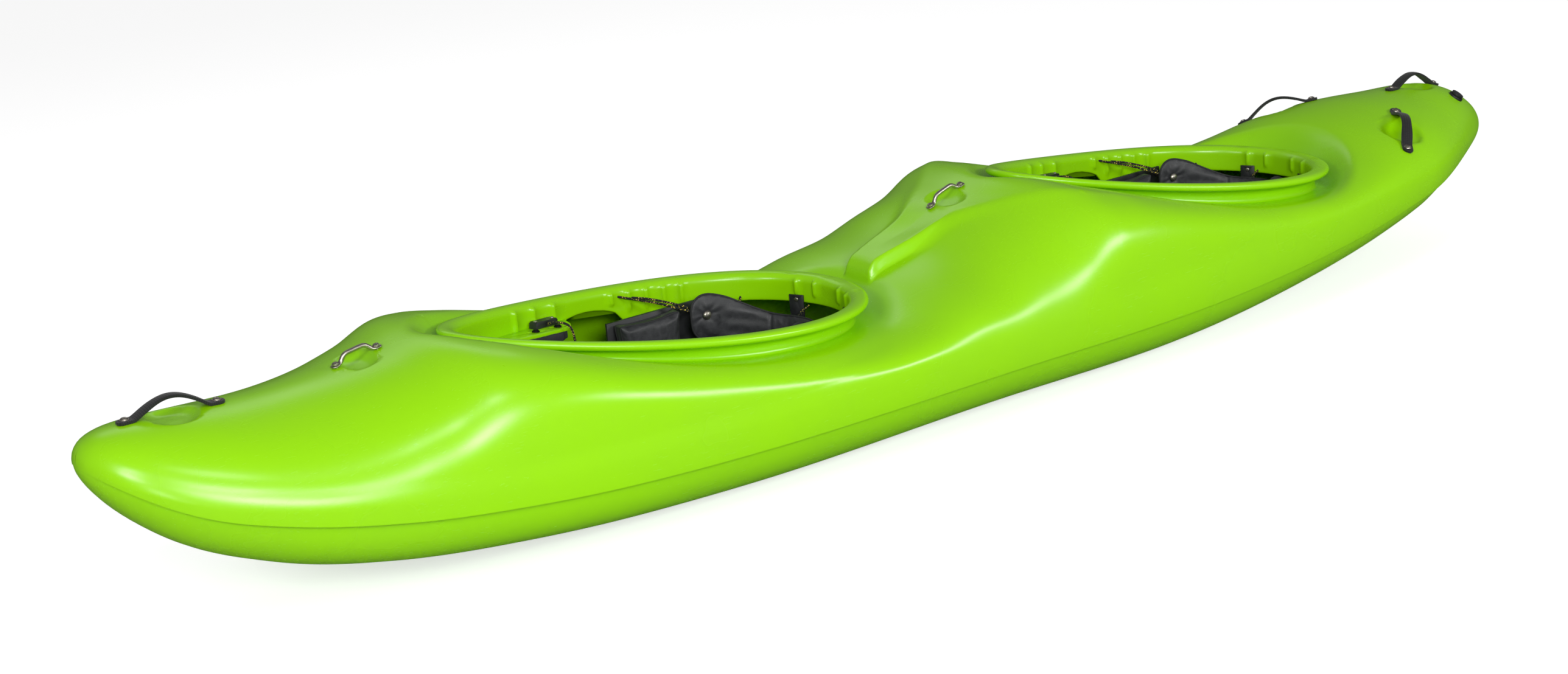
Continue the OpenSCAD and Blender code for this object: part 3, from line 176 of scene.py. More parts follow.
def curve(keys, v):
    """Smooth curve through the keys, the same as in the part's source."""
    k = np.array(keys, float)
    x, y = k[:, 0], k[:, 1]
    h = np.diff(x)
    r = np.diff(y) / h
    m = np.concatenate([r[:1], (r[:-1] * h[1:] + r[1:] * h[:-1]) / (h[1:] + h[:-1]), r[-1:]])
    i = np.clip(np.searchsorted(x, v, side="right") - 1, 0, len(x) - 2)
    u = np.clip((v - x[i]) / h[i], 0, 1)
    a = (2 * u - 3) * u * u + 1
    b = ((u - 2) * u + 1) * u * h[i]
    c = (u - 1) * u * u * h[i]
    return a * y[i] + b * m[i] + (1 - a) * y[i + 1] + c * m[i + 1]


def ease(a, b, v):
    """Smooth step from 0 at a to 1 at b."""
    u = np.clip((np.asarray(v, float) - a) / (b - a), 0, 1)
    return u * u * (3 - 2 * u)


def place(x):
    return np.clip(np.asarray(x, float) / HALF_LENGTH, -1, 1)


def tips(x):
    return np.sqrt(np.maximum(0, 1 - np.abs(place(x)) ** TIP_FULLNESS))


def sheer_z(x):
    return GUNWALE * curve(SHEER_LINE, place(x))


def half_beam(x):
    t = place(x)
    fullness = np.where(t > 0, BOW_FULLNESS, STERN_FULLNESS)
    drawn_in = 1 - TAIL_PINCH * ease(TAIL_FROM, -1, t)
    return HALF_BEAM * drawn_in * np.sqrt(np.maximum(0, 1 - np.abs(t) ** fullness))


def rim_line_z(c, x):
    return GUNWALE + RIM_RISE[c] + RIM_SLOPE[c] * (x - COCKPIT_X[c])


def rim_z(c, x):
    return rim_line_z(c, x) + RIM_SAG * ((x - COCKPIT_X[c]) / RIM_LENGTH) ** 2


def rim_x(c, turn, inset):
    return COCKPIT_X[c] + (RIM_LENGTH - inset) * np.cos(turn)


def rim_y(turn, inset):
    return (RIM_WIDTH - inset) * np.sin(turn) * (1 - RIM_TAPER * np.cos(turn))


def nearest(x, values):
    """The front or rear cockpit's value, whichever cockpit is nearer."""
    x = np.asarray(x, float)
    is_front = np.abs(x - COCKPIT_X[FRONT]) < np.abs(x - COCKPIT_X[REAR])
    return np.where(is_front, values[FRONT], values[REAR])


def opening_y(x):
    q = (x - nearest(x, COCKPIT_X)) / (RIM_LENGTH - LIP)
    return (RIM_WIDTH - LIP) * np.sqrt(np.maximum(0, 1 - q * q)) * (1 - RIM_TAPER * q)


def rim_distance(x, y):
    cx = nearest(x, COCKPIT_X)
    q = (x - cx) / RIM_LENGTH
    s = y / (RIM_WIDTH * (1 - RIM_TAPER * np.clip(q, -RIM_REACH, RIM_REACH)))
    return np.hypot(x - cx, y) * (1 - 1 / np.maximum(0.01, np.hypot(q, s)))


def groove_z(x):
    q = np.clip((x - nearest(x, COCKPIT_X)) / RIM_LENGTH, -RIM_REACH, RIM_REACH)
    drop = GROOVE_DROP + GROOVE_DROP_AFT * (1 - ease(-0.2, 0.9, q))
    line = GUNWALE + nearest(x, RIM_RISE) + nearest(x, RIM_SLOPE) * q * RIM_LENGTH
    return line + RIM_SAG * q * q - drop


def ridge(x, y):
    """Spine ridge behind the front cockpit, with a crisp step at its front end."""
    aft = (RIDGE_FRONT - x) / RIDGE_FRONT
    w = RIDGE_HALF * (1 + 0.4 * ease(0, 1, aft) + 3 * ease(1, 2.4, aft))
    edge = 1 - ease(w, w + 12 + 0.28 * w * ease(0.2, 1.4, aft), np.abs(y))
    return RIDGE_RISE * ease(0, 0.05, aft) * (1 - ease(0.3, 2, aft)) * edge


def crest(x, y):
    """Rounded crest from the ridge's edges aft along the shoulders of the rear cockpit."""
    d = np.abs(y) - curve(CREST_LINE, x)
    away = np.hypot(d, CREST_SOFT) - CREST_SOFT
    height = CREST_RISE * np.exp(-away / np.where(d < 0, CREST_INNER, CREST_OUTER))
    return height * (1 - ease(-20, 110, x)) * ease(-520, -300, x)


def dish(x, y, middle_x, a, b, depth):
    r = ((x - middle_x) / a) ** 2 + (y / b) ** 2
    return np.where(r < 1, depth * (1 - np.minimum(r, 1) ** 2.6) ** 1.7, 0)


def deck_z(x, y):
    """Height of the deck in millimetres, dishes and scoops included."""
    n = curve(DECK_SQUARENESS, place(x))
    q = np.minimum(1, np.abs(y) / np.maximum(1, half_beam(x)))
    crown = DECK_RISE * curve(CROWN_LINE, place(x)) * tips(x)
    plain = sheer_z(x) + crown * np.maximum(0, 1 - q**n) ** (1 / n) + ridge(x, y) + crest(x, y)
    w = 1 - ease(*RIM_BLEND, rim_distance(x, y))
    r = np.hypot(x - SCOOP[0], np.abs(y) - SCOOP[1]) / SCOOP[2]
    cut = SCOOP[3] * (1 - np.minimum(r, 1) ** 5) ** 1.6
    for d in DISHES:
        cut = np.maximum(cut, dish(x, y, *d))
    return plain * (1 - w) + groove_z(x) * w - cut


def unit(v):
    return np.asarray(v, float) / max(1e-9, np.linalg.norm(v))


def deck_point(x, y):
    return np.array([x, y, float(deck_z(x, y))])


def deck_frame(ends, reach, half_width):
    """Axes and origin of a thing that stands on the deck on two feet, as in the part's source."""
    def normal(p, h=4):
        gx = (deck_z(p[0] + h, p[1]) - deck_z(p[0] - h, p[1])) / (2 * h)
        gy = (deck_z(p[0], p[1] + h) - deck_z(p[0], p[1] - h)) / (2 * h)
        return unit([-gx, -gy, 1])

    along = unit(ends[1] - ends[0])
    n = normal(ends[0]) + normal(ends[1])
    up = unit(n - along * (n @ along))
    across = np.cross(up, along)
    lift = max(
        (deck_z(*(e + o * along + w * across)[:2]) - (e + o * along + w * across)[2]) * up[2]
        for e in ends
        for o in (-reach, 0, reach)
        for w in (-half_width, 0, half_width)
    )
    return along, across, up, (ends[0] + ends[1]) / 2 + (lift + FOOT_GAP) * up


# Small tools for making pieces


def linear(code, alpha=1.0):
    """An sRGB hex colour as linear numbers."""
    parts = [int(code[i:i + 2], 16) / 255 for i in (1, 3, 5)]
    return tuple(p / 12.92 if p <= 0.04045 else ((p + 0.055) / 1.055) ** 2.4 for p in parts) + (alpha,)


def deselect():
    if bpy.context.object and bpy.context.object.mode != "OBJECT":
        bpy.ops.object.mode_set(mode="OBJECT")
    bpy.ops.object.select_all(action="DESELECT")


def choose(obj):
    deselect()
    obj.select_set(True)
    bpy.context.view_layer.objects.active = obj
    return obj


def apply_modifiers(obj):
    choose(obj)
    for name in [m.name for m in obj.modifiers]:
        bpy.ops.object.modifier_apply(modifier=name)
    return obj


def smooth(obj, angle=None):
    choose(obj)
    if angle is None:
        bpy.ops.object.shade_smooth()
    else:
        bpy.ops.object.shade_smooth_by_angle(angle=math.radians(angle))
    return obj


def new_object(name, data):
    obj = bpy.data.objects.new(name, data)
    bpy.context.scene.collection.objects.link(obj)
    return obj


@contextmanager
def edited(obj):
    """A piece's mesh, open for editing and written back at the end."""
    bm = bmesh.new()
    bm.from_mesh(obj.data)
    yield bm
    bm.to_mesh(obj.data)
    bm.free()


def mesh_piece(name, points, faces):
    """A new object from points in millimetres."""
    mesh = bpy.data.meshes.new(name)
    corners = [list(map(int, f)) for f in faces]
    mesh.from_pydata((np.asarray(points, float) * MM).tolist(), [], corners)
    mesh.validate()
    return new_object(name, mesh)


def turn_out(obj):
    """Turn the faces outwards."""
    with edited(obj) as bm:
        bmesh.ops.recalc_face_normals(bm, faces=bm.faces)
    return obj


def lofted(name, rings):
    """A closed solid through rings of points in millimetres, flat at both ends."""
    n, m = len(rings), len(rings[0])
    faces = []
    for i in range(n - 1):
        for j in range(m):
            k = (j + 1) % m
            faces.append((i * m + j, i * m + k, (i + 1) * m + k, (i + 1) * m + j))
    faces += [list(range(m))[::-1], [(n - 1) * m + j for j in range(m)]]
    return turn_out(mesh_piece(name, np.concatenate(rings), faces))


def block(size):
    """A box of a size in millimetres, left in edit mode with all of it selected."""
    deselect()
    bpy.ops.mesh.primitive_cube_add(size=1, location=(0, 0, 0))
    bpy.ops.object.mode_set(mode="EDIT")
    bpy.ops.mesh.select_all(action="SELECT")
    bpy.ops.transform.resize(value=[v * MM for v in size])
    return bpy.context.object


def join_skin(obj, distance):
    """Merge doubles, drop flat faces and turn the faces outwards."""
    with edited(obj) as bm:
        bmesh.ops.remove_doubles(bm, verts=bm.verts, dist=distance)
        bmesh.ops.dissolve_degenerate(bm, dist=distance / 10, edges=bm.edges)
        bmesh.ops.recalc_face_normals(bm, faces=bm.faces)
    return obj


def coords(obj):
    co = np.empty(len(obj.data.vertices) * 3)
    obj.data.vertices.foreach_get("co", co)
    return co.reshape(-1, 3)


def set_coords(obj, co):
    obj.data.vertices.foreach_set("co", np.asarray(co, float).ravel())
    obj.data.update()


def normals(obj):
    n = np.empty(len(obj.data.vertices) * 3)
    obj.data.vertices.foreach_get("normal", n)
    return n.reshape(-1, 3)


def copies(name, model, matrices):
    """One object with a copy of the model's mesh at each matrix."""
    bm = bmesh.new()
    for m in matrices:
        part = model.data.copy()
        part.transform(m)
        if m.determinant() < 0:
            part.flip_normals()
        bm.from_mesh(part)
        bpy.data.meshes.remove(part)
    mesh = bpy.data.meshes.new(name)
    bm.to_mesh(mesh)
    bm.free()
    return new_object(name, mesh)


def drop(obj):
    bpy.data.objects.remove(obj)


def finish_piece(obj, body, slot, material, *nodes):
    """Give a piece its finish, the body it moves with and the CAD nodes it stands for."""
    obj.data.materials.clear()
    obj.data.materials.append(material)
    if "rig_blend" not in obj:
        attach(obj, body)
    if nodes:
        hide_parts(*nodes)
    return obj


def turned(name, rings, sides):
    """A turned solid: a circle extruded and scaled through rings of radius and height."""
    deselect()
    radius, height = rings[0]
    bpy.ops.mesh.primitive_circle_add(
        vertices=sides, radius=radius * MM, fill_type="NGON", location=(0, 0, 0),
    )
    obj = bpy.context.object
    obj.name = name
    bpy.ops.object.mode_set(mode="EDIT")
    bpy.ops.mesh.select_all(action="SELECT")
    bpy.ops.transform.translate(value=(0, 0, height * MM))
    for (r0, h0), (r1, h1) in zip(rings, rings[1:]):
        bpy.ops.mesh.extrude_region_move(TRANSFORM_OT_translate={"value": (0, 0, (h1 - h0) * MM)})
        share = r1 / r0
        bpy.ops.transform.resize(value=(share, share, 1), center_override=(0, 0, h1 * MM))
    bpy.ops.mesh.select_all(action="SELECT")
    bpy.ops.mesh.normals_make_consistent(inside=False)
    bpy.ops.object.mode_set(mode="OBJECT")
    return smooth(obj, 35)


def cross_cut(obj, top, reach, width, depth):
    """Cut a cross recess into the top of a screw head, in millimetres."""
    cutters = []
    for size in ((reach, width), (width, reach)):
        cutters.append(block((*size, 2 * depth)))
        bpy.ops.transform.translate(value=(0, 0, top * MM))
        bpy.ops.object.mode_set(mode="OBJECT")
    for cutter in cutters:
        cut = obj.modifiers.new("Recess", "BOOLEAN")
        cut.operation = "DIFFERENCE"
        cut.object = cutter
        apply_modifiers(obj)
        drop(cutter)
    return smooth(obj, 35)


def frame_matrix(axes, origin):
    """A matrix from three axes and an origin in millimetres."""
    m = Matrix.Identity(4)
    for k, axis in enumerate(axes):
        m.col[k][:3] = axis
    m.col[3][:3] = np.asarray(origin, float) * MM
    return m


def path_points(route, step=3.0):
    """Points along a smooth curve through a route, about a step apart."""
    p = np.asarray(route, float)
    out = []
    for i in range(len(p) - 1):
        a = p[i - 1] if i else 2 * p[0] - p[1]
        d = p[i + 2] if i + 2 < len(p) else 2 * p[-1] - p[-2]
        b, c = p[i], p[i + 1]
        n = max(2, int(round(np.linalg.norm(c - b) / step)))
        for u in np.arange(n) / n:
            t1, t2 = (c - a) / 2, (d - b) / 2
            h = (2 * u - 3) * u * u + 1
            out.append(h * b + ((u - 2) * u + 1) * u * t1 + (1 - h) * c + (u - 1) * u * u * t2)
    out.append(p[-1])
    return np.array(out)


def tube(name, path, diameter, sides=10, closed=False):
    """A round tube along points in millimetres, with a UV map of length along and turn around."""
    n = len(path)
    after = [(i + 1) % n if closed else min(n - 1, i + 1) for i in range(n)]
    before = [i - 1 if closed else max(0, i - 1) for i in range(n)]
    ways = [unit(path[a] - path[b]) for a, b in zip(after, before)]
    side = unit(np.cross(ways[0], (0.02, 0.1, 1)))
    points, faces, uvs = [], [], []
    along = np.concatenate([[0], np.cumsum(np.linalg.norm(np.diff(path, axis=0), axis=1))])
    for i in range(n):
        side = unit(side - ways[i] * (side @ ways[i]))
        other = np.cross(ways[i], side)
        for j in range(sides):
            a = 2 * math.pi * j / sides
            points.append(path[i] + diameter / 2 * (math.cos(a) * side + math.sin(a) * other))
    for i in range(n if closed else n - 1):
        k = (i + 1) % n
        end = along[k] if k else along[i] + np.linalg.norm(path[0] - path[i])
        for j in range(sides):
            m = (j + 1) % sides
            faces.append((i * sides + j, i * sides + m, k * sides + m, k * sides + j))
            v0, v1 = j / sides, (j + 1) / sides
            uvs += [(along[i], v0), (along[i], v1), (end, v1), (end, v0)]
    if not closed:
        for row, way in ((0, -1), (n - 1, 1)):
            points.append(path[row] + way * ways[row] * diameter * 0.3)
            for j in range(sides):
                f = (row * sides + (j + 1) % sides, row * sides + j, len(points) - 1)
                faces.append(f if way < 0 else (f[1], f[0], f[2]))
                uvs += [(along[row], 0)] * 3
    obj = mesh_piece(name, points, faces)
    layer = obj.data.uv_layers.new(name="length")
    layer.data.foreach_set("uv", (np.array(uvs) * (MM, 1)).ravel())
    return smooth(turn_out(obj))


def evened(loop, rounds):
    """A closed loop of points, smoothed."""
    for _ in range(rounds):
        loop = (np.roll(loop, 1, 0) + 2 * loop + np.roll(loop, -1, 0)) / 4
    return loop


def is_outer_corner(edge):
    """Whether an edge is a short upright corner between two broad faces."""
    upright = abs((edge.verts[0].co - edge.verts[1].co).normalized().z) > 0.9
    if not upright or edge.calc_length() >= 12 * MM or len(edge.link_faces) != 2:
        return False
    broad = min(f.calc_area() for f in edge.link_faces) > 120 * MM * MM
    return broad and 0.3 < edge.calc_face_angle_signed(0) < 2


def round_corners(obj, offset):
    """Round the upright outer corners of a plate, in millimetres."""
    with edited(obj) as bm:
        corners = [e for e in bm.edges if is_outer_corner(e)]
        bmesh.ops.bevel(
            bm, geom=corners, offset=offset * MM, segments=5, affect="EDGES", profile=0.5,
            clamp_overlap=True,
        )


def refined_copy(name, node, width, segments, rounding=0):
    """A copy of a CAD node with its triangles joined up and its edges rounded."""
    mesh = frame["nodes"][node].data.copy()
    mesh.name = name
    obj = choose(new_object(name, mesh))
    bpy.ops.object.mode_set(mode="EDIT")
    bpy.ops.mesh.select_all(action="SELECT")
    bpy.ops.mesh.remove_doubles(threshold=1e-5)
    bpy.ops.mesh.dissolve_limited(angle_limit=math.radians(2))
    bpy.ops.mesh.normals_make_consistent(inside=False)
    bpy.ops.object.mode_set(mode="OBJECT")
    if rounding:
        round_corners(obj, rounding)
    bevel = obj.modifiers.new("Edges", "BEVEL")
    bevel.width = width * MM
    bevel.segments = segments
    bevel.limit_method = "ANGLE"
    bevel.angle_limit = math.radians(40)
    apply_modifiers(obj)
    return smooth(obj, 40)


def round_node(name, node, width, segments, slot, material, rounding=0):
    """Replace a CAD node by its refined copy, on the node's own body."""
    obj = refined_copy(name, node, width, segments, rounding)
    return finish_piece(obj, body_of(frame["nodes"][node])[0], slot, material, node)


def remesh(obj, voxel):
    choose(obj)
    obj.data.remesh_voxel_size = voxel * MM
    bpy.ops.object.voxel_remesh()
    return obj


# Size of the remesh under the cloth, in millimetres, and frames for which the cloth runs.
PAD_VOXEL = 5
THIGH_VOXEL = 4
CLOTH_FRAMES = 20


def stuff(obj, pressure, cap):
    """Swell a closed shape with cloth under pressure. No point moves further than the cap."""
    scene = bpy.context.scene
    rest = coords(obj)
    cloth = obj.modifiers.new("Stuffing", "CLOTH")
    cloth.settings.quality = 4
    cloth.settings.use_pressure = True
    cloth.settings.uniform_pressure_force = pressure
    cloth.settings.effector_weights.gravity = 0
    cloth.point_cache.frame_start = 1
    cloth.point_cache.frame_end = CLOTH_FRAMES
    for f in range(1, CLOTH_FRAMES + 1):
        scene.frame_set(f)
    done = obj.evaluated_get(bpy.context.evaluated_depsgraph_get())
    moved = np.array([v.co for v in done.data.vertices]) - rest
    far = np.linalg.norm(moved, axis=1, keepdims=True)
    moved *= np.minimum(1, cap * MM / np.maximum(far, 1e-9))
    obj.modifiers.remove(cloth)
    scene.frame_set(1)
    set_coords(obj, rest + moved)
    return obj


def relax(obj, rounds, factor=0.5):
    """Even out a remeshed surface."""
    with edited(obj) as bm:
        for _ in range(rounds):
            bmesh.ops.smooth_vert(
                bm, verts=bm.verts, factor=factor, use_axis_x=True, use_axis_y=True, use_axis_z=True,
            )
    return obj


def subdivide(obj):
    sub = obj.modifiers.new("Rounding", "SUBSURF")
    sub.levels = sub.render_levels = 1
    return apply_modifiers(obj)


def on_surface(obj, path, sink):
    """Move path points in millimetres onto a piece's surface, sunk a little below it."""
    bm = bmesh.new()
    bm.from_mesh(obj.data)
    tree = BVHTree.FromBMesh(bm)
    out = []
    for p in path:
        hit, normal, _, _ = tree.find_nearest(Vector(p) * MM)
        out.append(np.array(hit - normal * sink * MM) / MM)
    bm.free()
    return np.array(out)


# Materials


def plug(tree, node, inputs):
    """Give each named socket of a node a value or another node's output."""
    for key, value in inputs.items():
        if isinstance(value, bpy.types.NodeSocket):
            tree.links.new(value, node.inputs[key])
        else:
            node.inputs[key].default_value = value


def add(tree, kind, inputs=None, **settings):
    """Add a node with its settings and links."""
    node = tree.nodes.new(kind)
    for key, value in settings.items():
        setattr(node, key, value)
    plug(tree, node, inputs or {})
    return node


def new_material(name):
    """An empty material with its output, its shader and its Object coordinates."""
    mat = bpy.data.materials.get(name)
    if mat:
        return mat, None, None, None
    mat = bpy.data.materials.new(name)
    mat.use_nodes = True
    tree = mat.node_tree
    tree.nodes.clear()
    shader = add(tree, "ShaderNodeBsdfPrincipled")
    add(tree, "ShaderNodeOutputMaterial", {"Surface": shader.outputs["BSDF"]})
    where = add(tree, "ShaderNodeTexCoord")
    return mat, tree, shader, where


# One full wave, in radians.
WAVE_TURN = 6.2832


def per_metre(size_mm):
    """Texture scale at which one pattern step has this size in millimetres."""
    return 1000.0 / size_mm


def moulded_polyethylene():
    """Rotomoulded polyethylene: waxy gloss, a faint orange peel, slow colour drift and fine scuffs."""
    mat, tree, shader, where = new_material("moulded_polyethylene")
    if not tree:
        return mat
    colours = bpy.context.scene.kayak_colours
    spot = where.outputs["Object"]
    drift = add(tree, "ShaderNodeTexNoise", {"Vector": spot, "Scale": per_metre(220), "Detail": 3.0})
    tone = add(tree, "ShaderNodeMix", {
        "Factor": drift.outputs["Fac"], "A": colours.shell, "B": colours.shell_deep,
    }, data_type="RGBA")
    grain = add(tree, "ShaderNodeTexNoise", {"Vector": spot, "Scale": per_metre(5), "Detail": 2.0})
    long = add(tree, "ShaderNodeMapping", {"Vector": spot, "Scale": (0.12, 1.0, 1.0)})
    scuff = add(tree, "ShaderNodeTexNoise", {
        "Vector": long.outputs[0], "Scale": per_metre(4), "Detail": 4.0,
    })
    marks = add(tree, "ShaderNodeMapRange", {
        "Value": scuff.outputs["Fac"], "From Min": 0.62, "From Max": 0.78, "To Min": 0.0, "To Max": 0.05,
    })
    gloss = add(tree, "ShaderNodeMapRange", {
        "Value": drift.outputs["Fac"], "From Min": 0.3, "From Max": 0.7, "To Min": 0.23, "To Max": 0.3,
    })
    rough = add(tree, "ShaderNodeMath", {0: gloss.outputs[0], 1: marks.outputs[0]}, operation="ADD")
    peel = add(tree, "ShaderNodeBump", {
        "Height": grain.outputs["Fac"], "Strength": 0.08, "Distance": 0.6 * MM,
    })
    plug(tree, shader, {
        "Base Color": tone.outputs["Result"], "Roughness": rough.outputs[0], "Normal": peel.outputs[0],
        "IOR": 1.52,
    })
    return mat


def woven_webbing():
    """Nylon webbing: ribbed weave across the strap, dull threads with a soft sheen and fuzzed edges."""
    mat, tree, shader, where = new_material("woven_webbing")
    if not tree:
        return mat
    spot = where.outputs["UV"]
    # Threads are about 1 mm apart, and are drawn 2 mm apart so that they show.
    rib = add(tree, "ShaderNodeTexWave", {
        "Vector": spot, "Scale": per_metre(2) / WAVE_TURN, "Distortion": 0.6, "Detail": 1.0,
    }, bands_direction="X")
    warp = add(tree, "ShaderNodeTexWave", {
        "Vector": spot, "Scale": per_metre(2.4) / WAVE_TURN, "Distortion": 0.5,
    }, bands_direction="Y")
    weave = add(tree, "ShaderNodeMath", {
        0: rib.outputs["Fac"], 1: warp.outputs["Fac"],
    }, operation="MULTIPLY")
    wear = add(tree, "ShaderNodeTexNoise", {"Vector": where.outputs["Object"], "Scale": per_metre(9)})
    # Threads are painted lighter where they cross on top and darker in the hollows between them: painted
    # shade, mixed with real patches of wear.
    painted_thread_shade_and_wear = add(tree, "ShaderNodeMath", {
        0: weave.outputs[0], 1: wear.outputs["Fac"],
    }, operation="MULTIPLY")
    ramp = add(tree, "ShaderNodeMix", {
        "Factor": painted_thread_shade_and_wear.outputs[0], "A": linear("#070708"), "B": linear("#27292B"),
    }, data_type="RGBA")
    bump = add(tree, "ShaderNodeBump", {
        "Height": weave.outputs[0], "Strength": 0.6, "Distance": 0.6 * MM,
    })
    plug(tree, shader, {
        "Base Color": ramp.outputs["Result"], "Normal": bump.outputs[0], "Roughness": 0.72,
        "Sheen Weight": 0.12,
    })
    return mat


def coated_pad_cover():
    """Rubber-coated nylon over foam: black, low gloss, pebbled, with small creases that catch light."""
    mat, tree, shader, where = new_material("coated_pad_cover")
    if not tree:
        return mat
    colours = bpy.context.scene.kayak_colours
    spot = where.outputs["Object"]
    # The grain is under 1 mm, and is drawn 1.6 mm wide so that it shows.
    pebble = add(tree, "ShaderNodeTexVoronoi", {"Vector": spot, "Scale": per_metre(1.6)})
    crease = add(tree, "ShaderNodeTexNoise", {
        "Vector": spot, "Scale": per_metre(16), "Detail": 4.0, "Distortion": 1.2,
    })
    heights = add(tree, "ShaderNodeMix", {
        "Factor": 0.55, "A": pebble.outputs["Distance"], "B": crease.outputs["Fac"],
    })
    bump = add(tree, "ShaderNodeBump", {
        "Height": heights.outputs[0], "Strength": 0.28, "Distance": 1.2 * MM,
    })
    tone = add(tree, "ShaderNodeMix", {
        "Factor": crease.outputs["Fac"], "A": colours.pad, "B": colours.pad_worn,
    }, data_type="RGBA")
    rough = add(tree, "ShaderNodeMapRange", {
        "Value": crease.outputs["Fac"], "From Min": 0.3, "From Max": 0.7, "To Min": 0.42, "To Max": 0.58,
    })
    plug(tree, shader, {
        "Base Color": tone.outputs["Result"], "Roughness": rough.outputs[0], "Normal": bump.outputs[0],
    })
    return mat


def closed_cell_foam():
    """Closed-cell polyethylene foam: matt, charcoal, with fine cells cut open on its skin."""
    mat, tree, shader, where = new_material("closed_cell_foam")
    if not tree:
        return mat
    spot = where.outputs["Object"]
    cells = add(tree, "ShaderNodeTexVoronoi", {"Vector": spot, "Scale": per_metre(2.2)})
    blot = add(tree, "ShaderNodeTexNoise", {"Vector": spot, "Scale": per_metre(30), "Detail": 3.0})
    tone = add(tree, "ShaderNodeMix", {
        "Factor": blot.outputs["Fac"], "A": linear("#17181A"), "B": linear("#2B2D30"),
    }, data_type="RGBA")
    bump = add(tree, "ShaderNodeBump", {
        "Height": cells.outputs["Distance"], "Strength": 0.35, "Distance": 0.8 * MM,
    })
    plug(tree, shader, {
        "Base Color": tone.outputs["Result"], "Normal": bump.outputs[0], "Roughness": 0.85,
    })
    return mat


def braided_cord():
    """Braided polyester cord: black sheath of crossing strands with a yellow tracer every few picks."""
    mat, tree, shader, where = new_material("braided_cord")
    if not tree:
        return mat
    colours = bpy.context.scene.kayak_colours
    spot = where.outputs["UV"]
    # Along is in metres and around is one turn. Both become braid picks: 4 mm long, 4 strands around.
    picks = add(tree, "ShaderNodeMapping", {"Vector": spot, "Scale": (per_metre(4), 4.0, 1.0)})
    split = add(tree, "ShaderNodeSeparateXYZ", {0: picks.outputs[0]})
    strands = []
    for lean in ("ADD", "SUBTRACT"):
        way = add(tree, "ShaderNodeMath", {0: split.outputs[0], 1: split.outputs[1]}, operation=lean)
        turn = add(tree, "ShaderNodeMath", {0: way.outputs[0], 1: WAVE_TURN}, operation="MULTIPLY")
        wave = add(tree, "ShaderNodeMath", {0: turn.outputs[0]}, operation="SINE")
        strands.append(wave.outputs[0])
    braid = add(tree, "ShaderNodeMath", {0: strands[0], 1: strands[1]}, operation="MAXIMUM")
    fleck = add(tree, "ShaderNodeTexVoronoi", {
        "Vector": picks.outputs[0], "Scale": 0.9, "Randomness": 0.8,
    })
    tracer = add(tree, "ShaderNodeMath", {0: fleck.outputs["Distance"], 1: 0.36}, operation="LESS_THAN")
    tone = add(tree, "ShaderNodeMix", {
        "Factor": tracer.outputs[0], "A": linear("#101112"), "B": colours.tracer,
    }, data_type="RGBA")
    bump = add(tree, "ShaderNodeBump", {
        "Height": braid.outputs[0], "Strength": 0.7, "Distance": 0.6 * MM,
    })
    plug(tree, shader, {
        "Base Color": tone.outputs["Result"], "Normal": bump.outputs[0], "Roughness": 0.65,
    })
    return mat


def worked_metal(name, tone, low, high, stretch):
    """Bare metal with fine marks drawn along one axis, and roughness that drifts with them."""
    mat, tree, shader, where = new_material(name)
    if not tree:
        return mat
    lines = add(tree, "ShaderNodeMapping", {"Vector": where.outputs["Object"], "Scale": stretch})
    marks = add(tree, "ShaderNodeTexNoise", {
        "Vector": lines.outputs[0], "Scale": per_metre(1.5), "Detail": 3.0,
    })
    rough = add(tree, "ShaderNodeMapRange", {
        "Value": marks.outputs["Fac"], "From Min": 0.3, "From Max": 0.7, "To Min": low, "To Max": high,
    })
    bump = add(tree, "ShaderNodeBump", {
        "Height": marks.outputs["Fac"], "Strength": 0.08, "Distance": 0.3 * MM,
    })
    plug(tree, shader, {
        "Base Color": tone, "Metallic": 1.0, "Roughness": rough.outputs[0], "Normal": bump.outputs[0],
    })
    return mat


def stainless_steel():
    """Tumbled stainless steel for bars, bolts and screws: warm grey, satin glints, soft draw marks."""
    tone = bpy.context.scene.kayak_colours.steel
    return worked_metal("tumbled_stainless_steel", tone, 0.3, 0.44, (0.2, 1, 1))


def blackened_steel():
    """Blackened steel for the bolts under the hooks: dark, dull, with a faint grey rub."""
    return worked_metal("blackened_steel", linear("#2A2A2B"), 0.42, 0.6, (1, 1, 1))


def brushed_aluminium():
    """Brushed aluminium for the foot rails and plates: pale, satin, with lengthwise brush lines."""
    return worked_metal("brushed_aluminium", linear("#C9CCCF"), 0.34, 0.5, (0.06, 1, 1))


def moulded_plastic(name="moulded_nylon", tone="#141516", low=0.38, high=0.52):
    """Black moulded nylon: even, fine-sparked mould texture and a soft sheen."""
    mat, tree, shader, where = new_material(name)
    if not tree:
        return mat
    spot = where.outputs["Object"]
    spark = add(tree, "ShaderNodeTexNoise", {"Vector": spot, "Scale": per_metre(1.8), "Detail": 2.0})
    patch = add(tree, "ShaderNodeTexNoise", {"Vector": spot, "Scale": per_metre(25)})
    rough = add(tree, "ShaderNodeMapRange", {
        "Value": patch.outputs["Fac"], "From Min": 0.3, "From Max": 0.7, "To Min": low, "To Max": high,
    })
    tint = add(tree, "ShaderNodeMix", {
        "Factor": patch.outputs["Fac"], "A": linear(tone), "B": linear("#26282A"),
    }, data_type="RGBA")
    bump = add(tree, "ShaderNodeBump", {
        "Height": spark.outputs["Fac"], "Strength": 0.15, "Distance": 0.5 * MM,
    })
    plug(tree, shader, {
        "Base Color": tint.outputs["Result"], "Roughness": rough.outputs[0], "Normal": bump.outputs[0],
    })
    return mat


def soft_rubber():
    """Soft rubber for the gasket and piping: dull black with a dusty bloom."""
    return moulded_plastic("soft_rubber", "#0F1011", 0.62, 0.78)


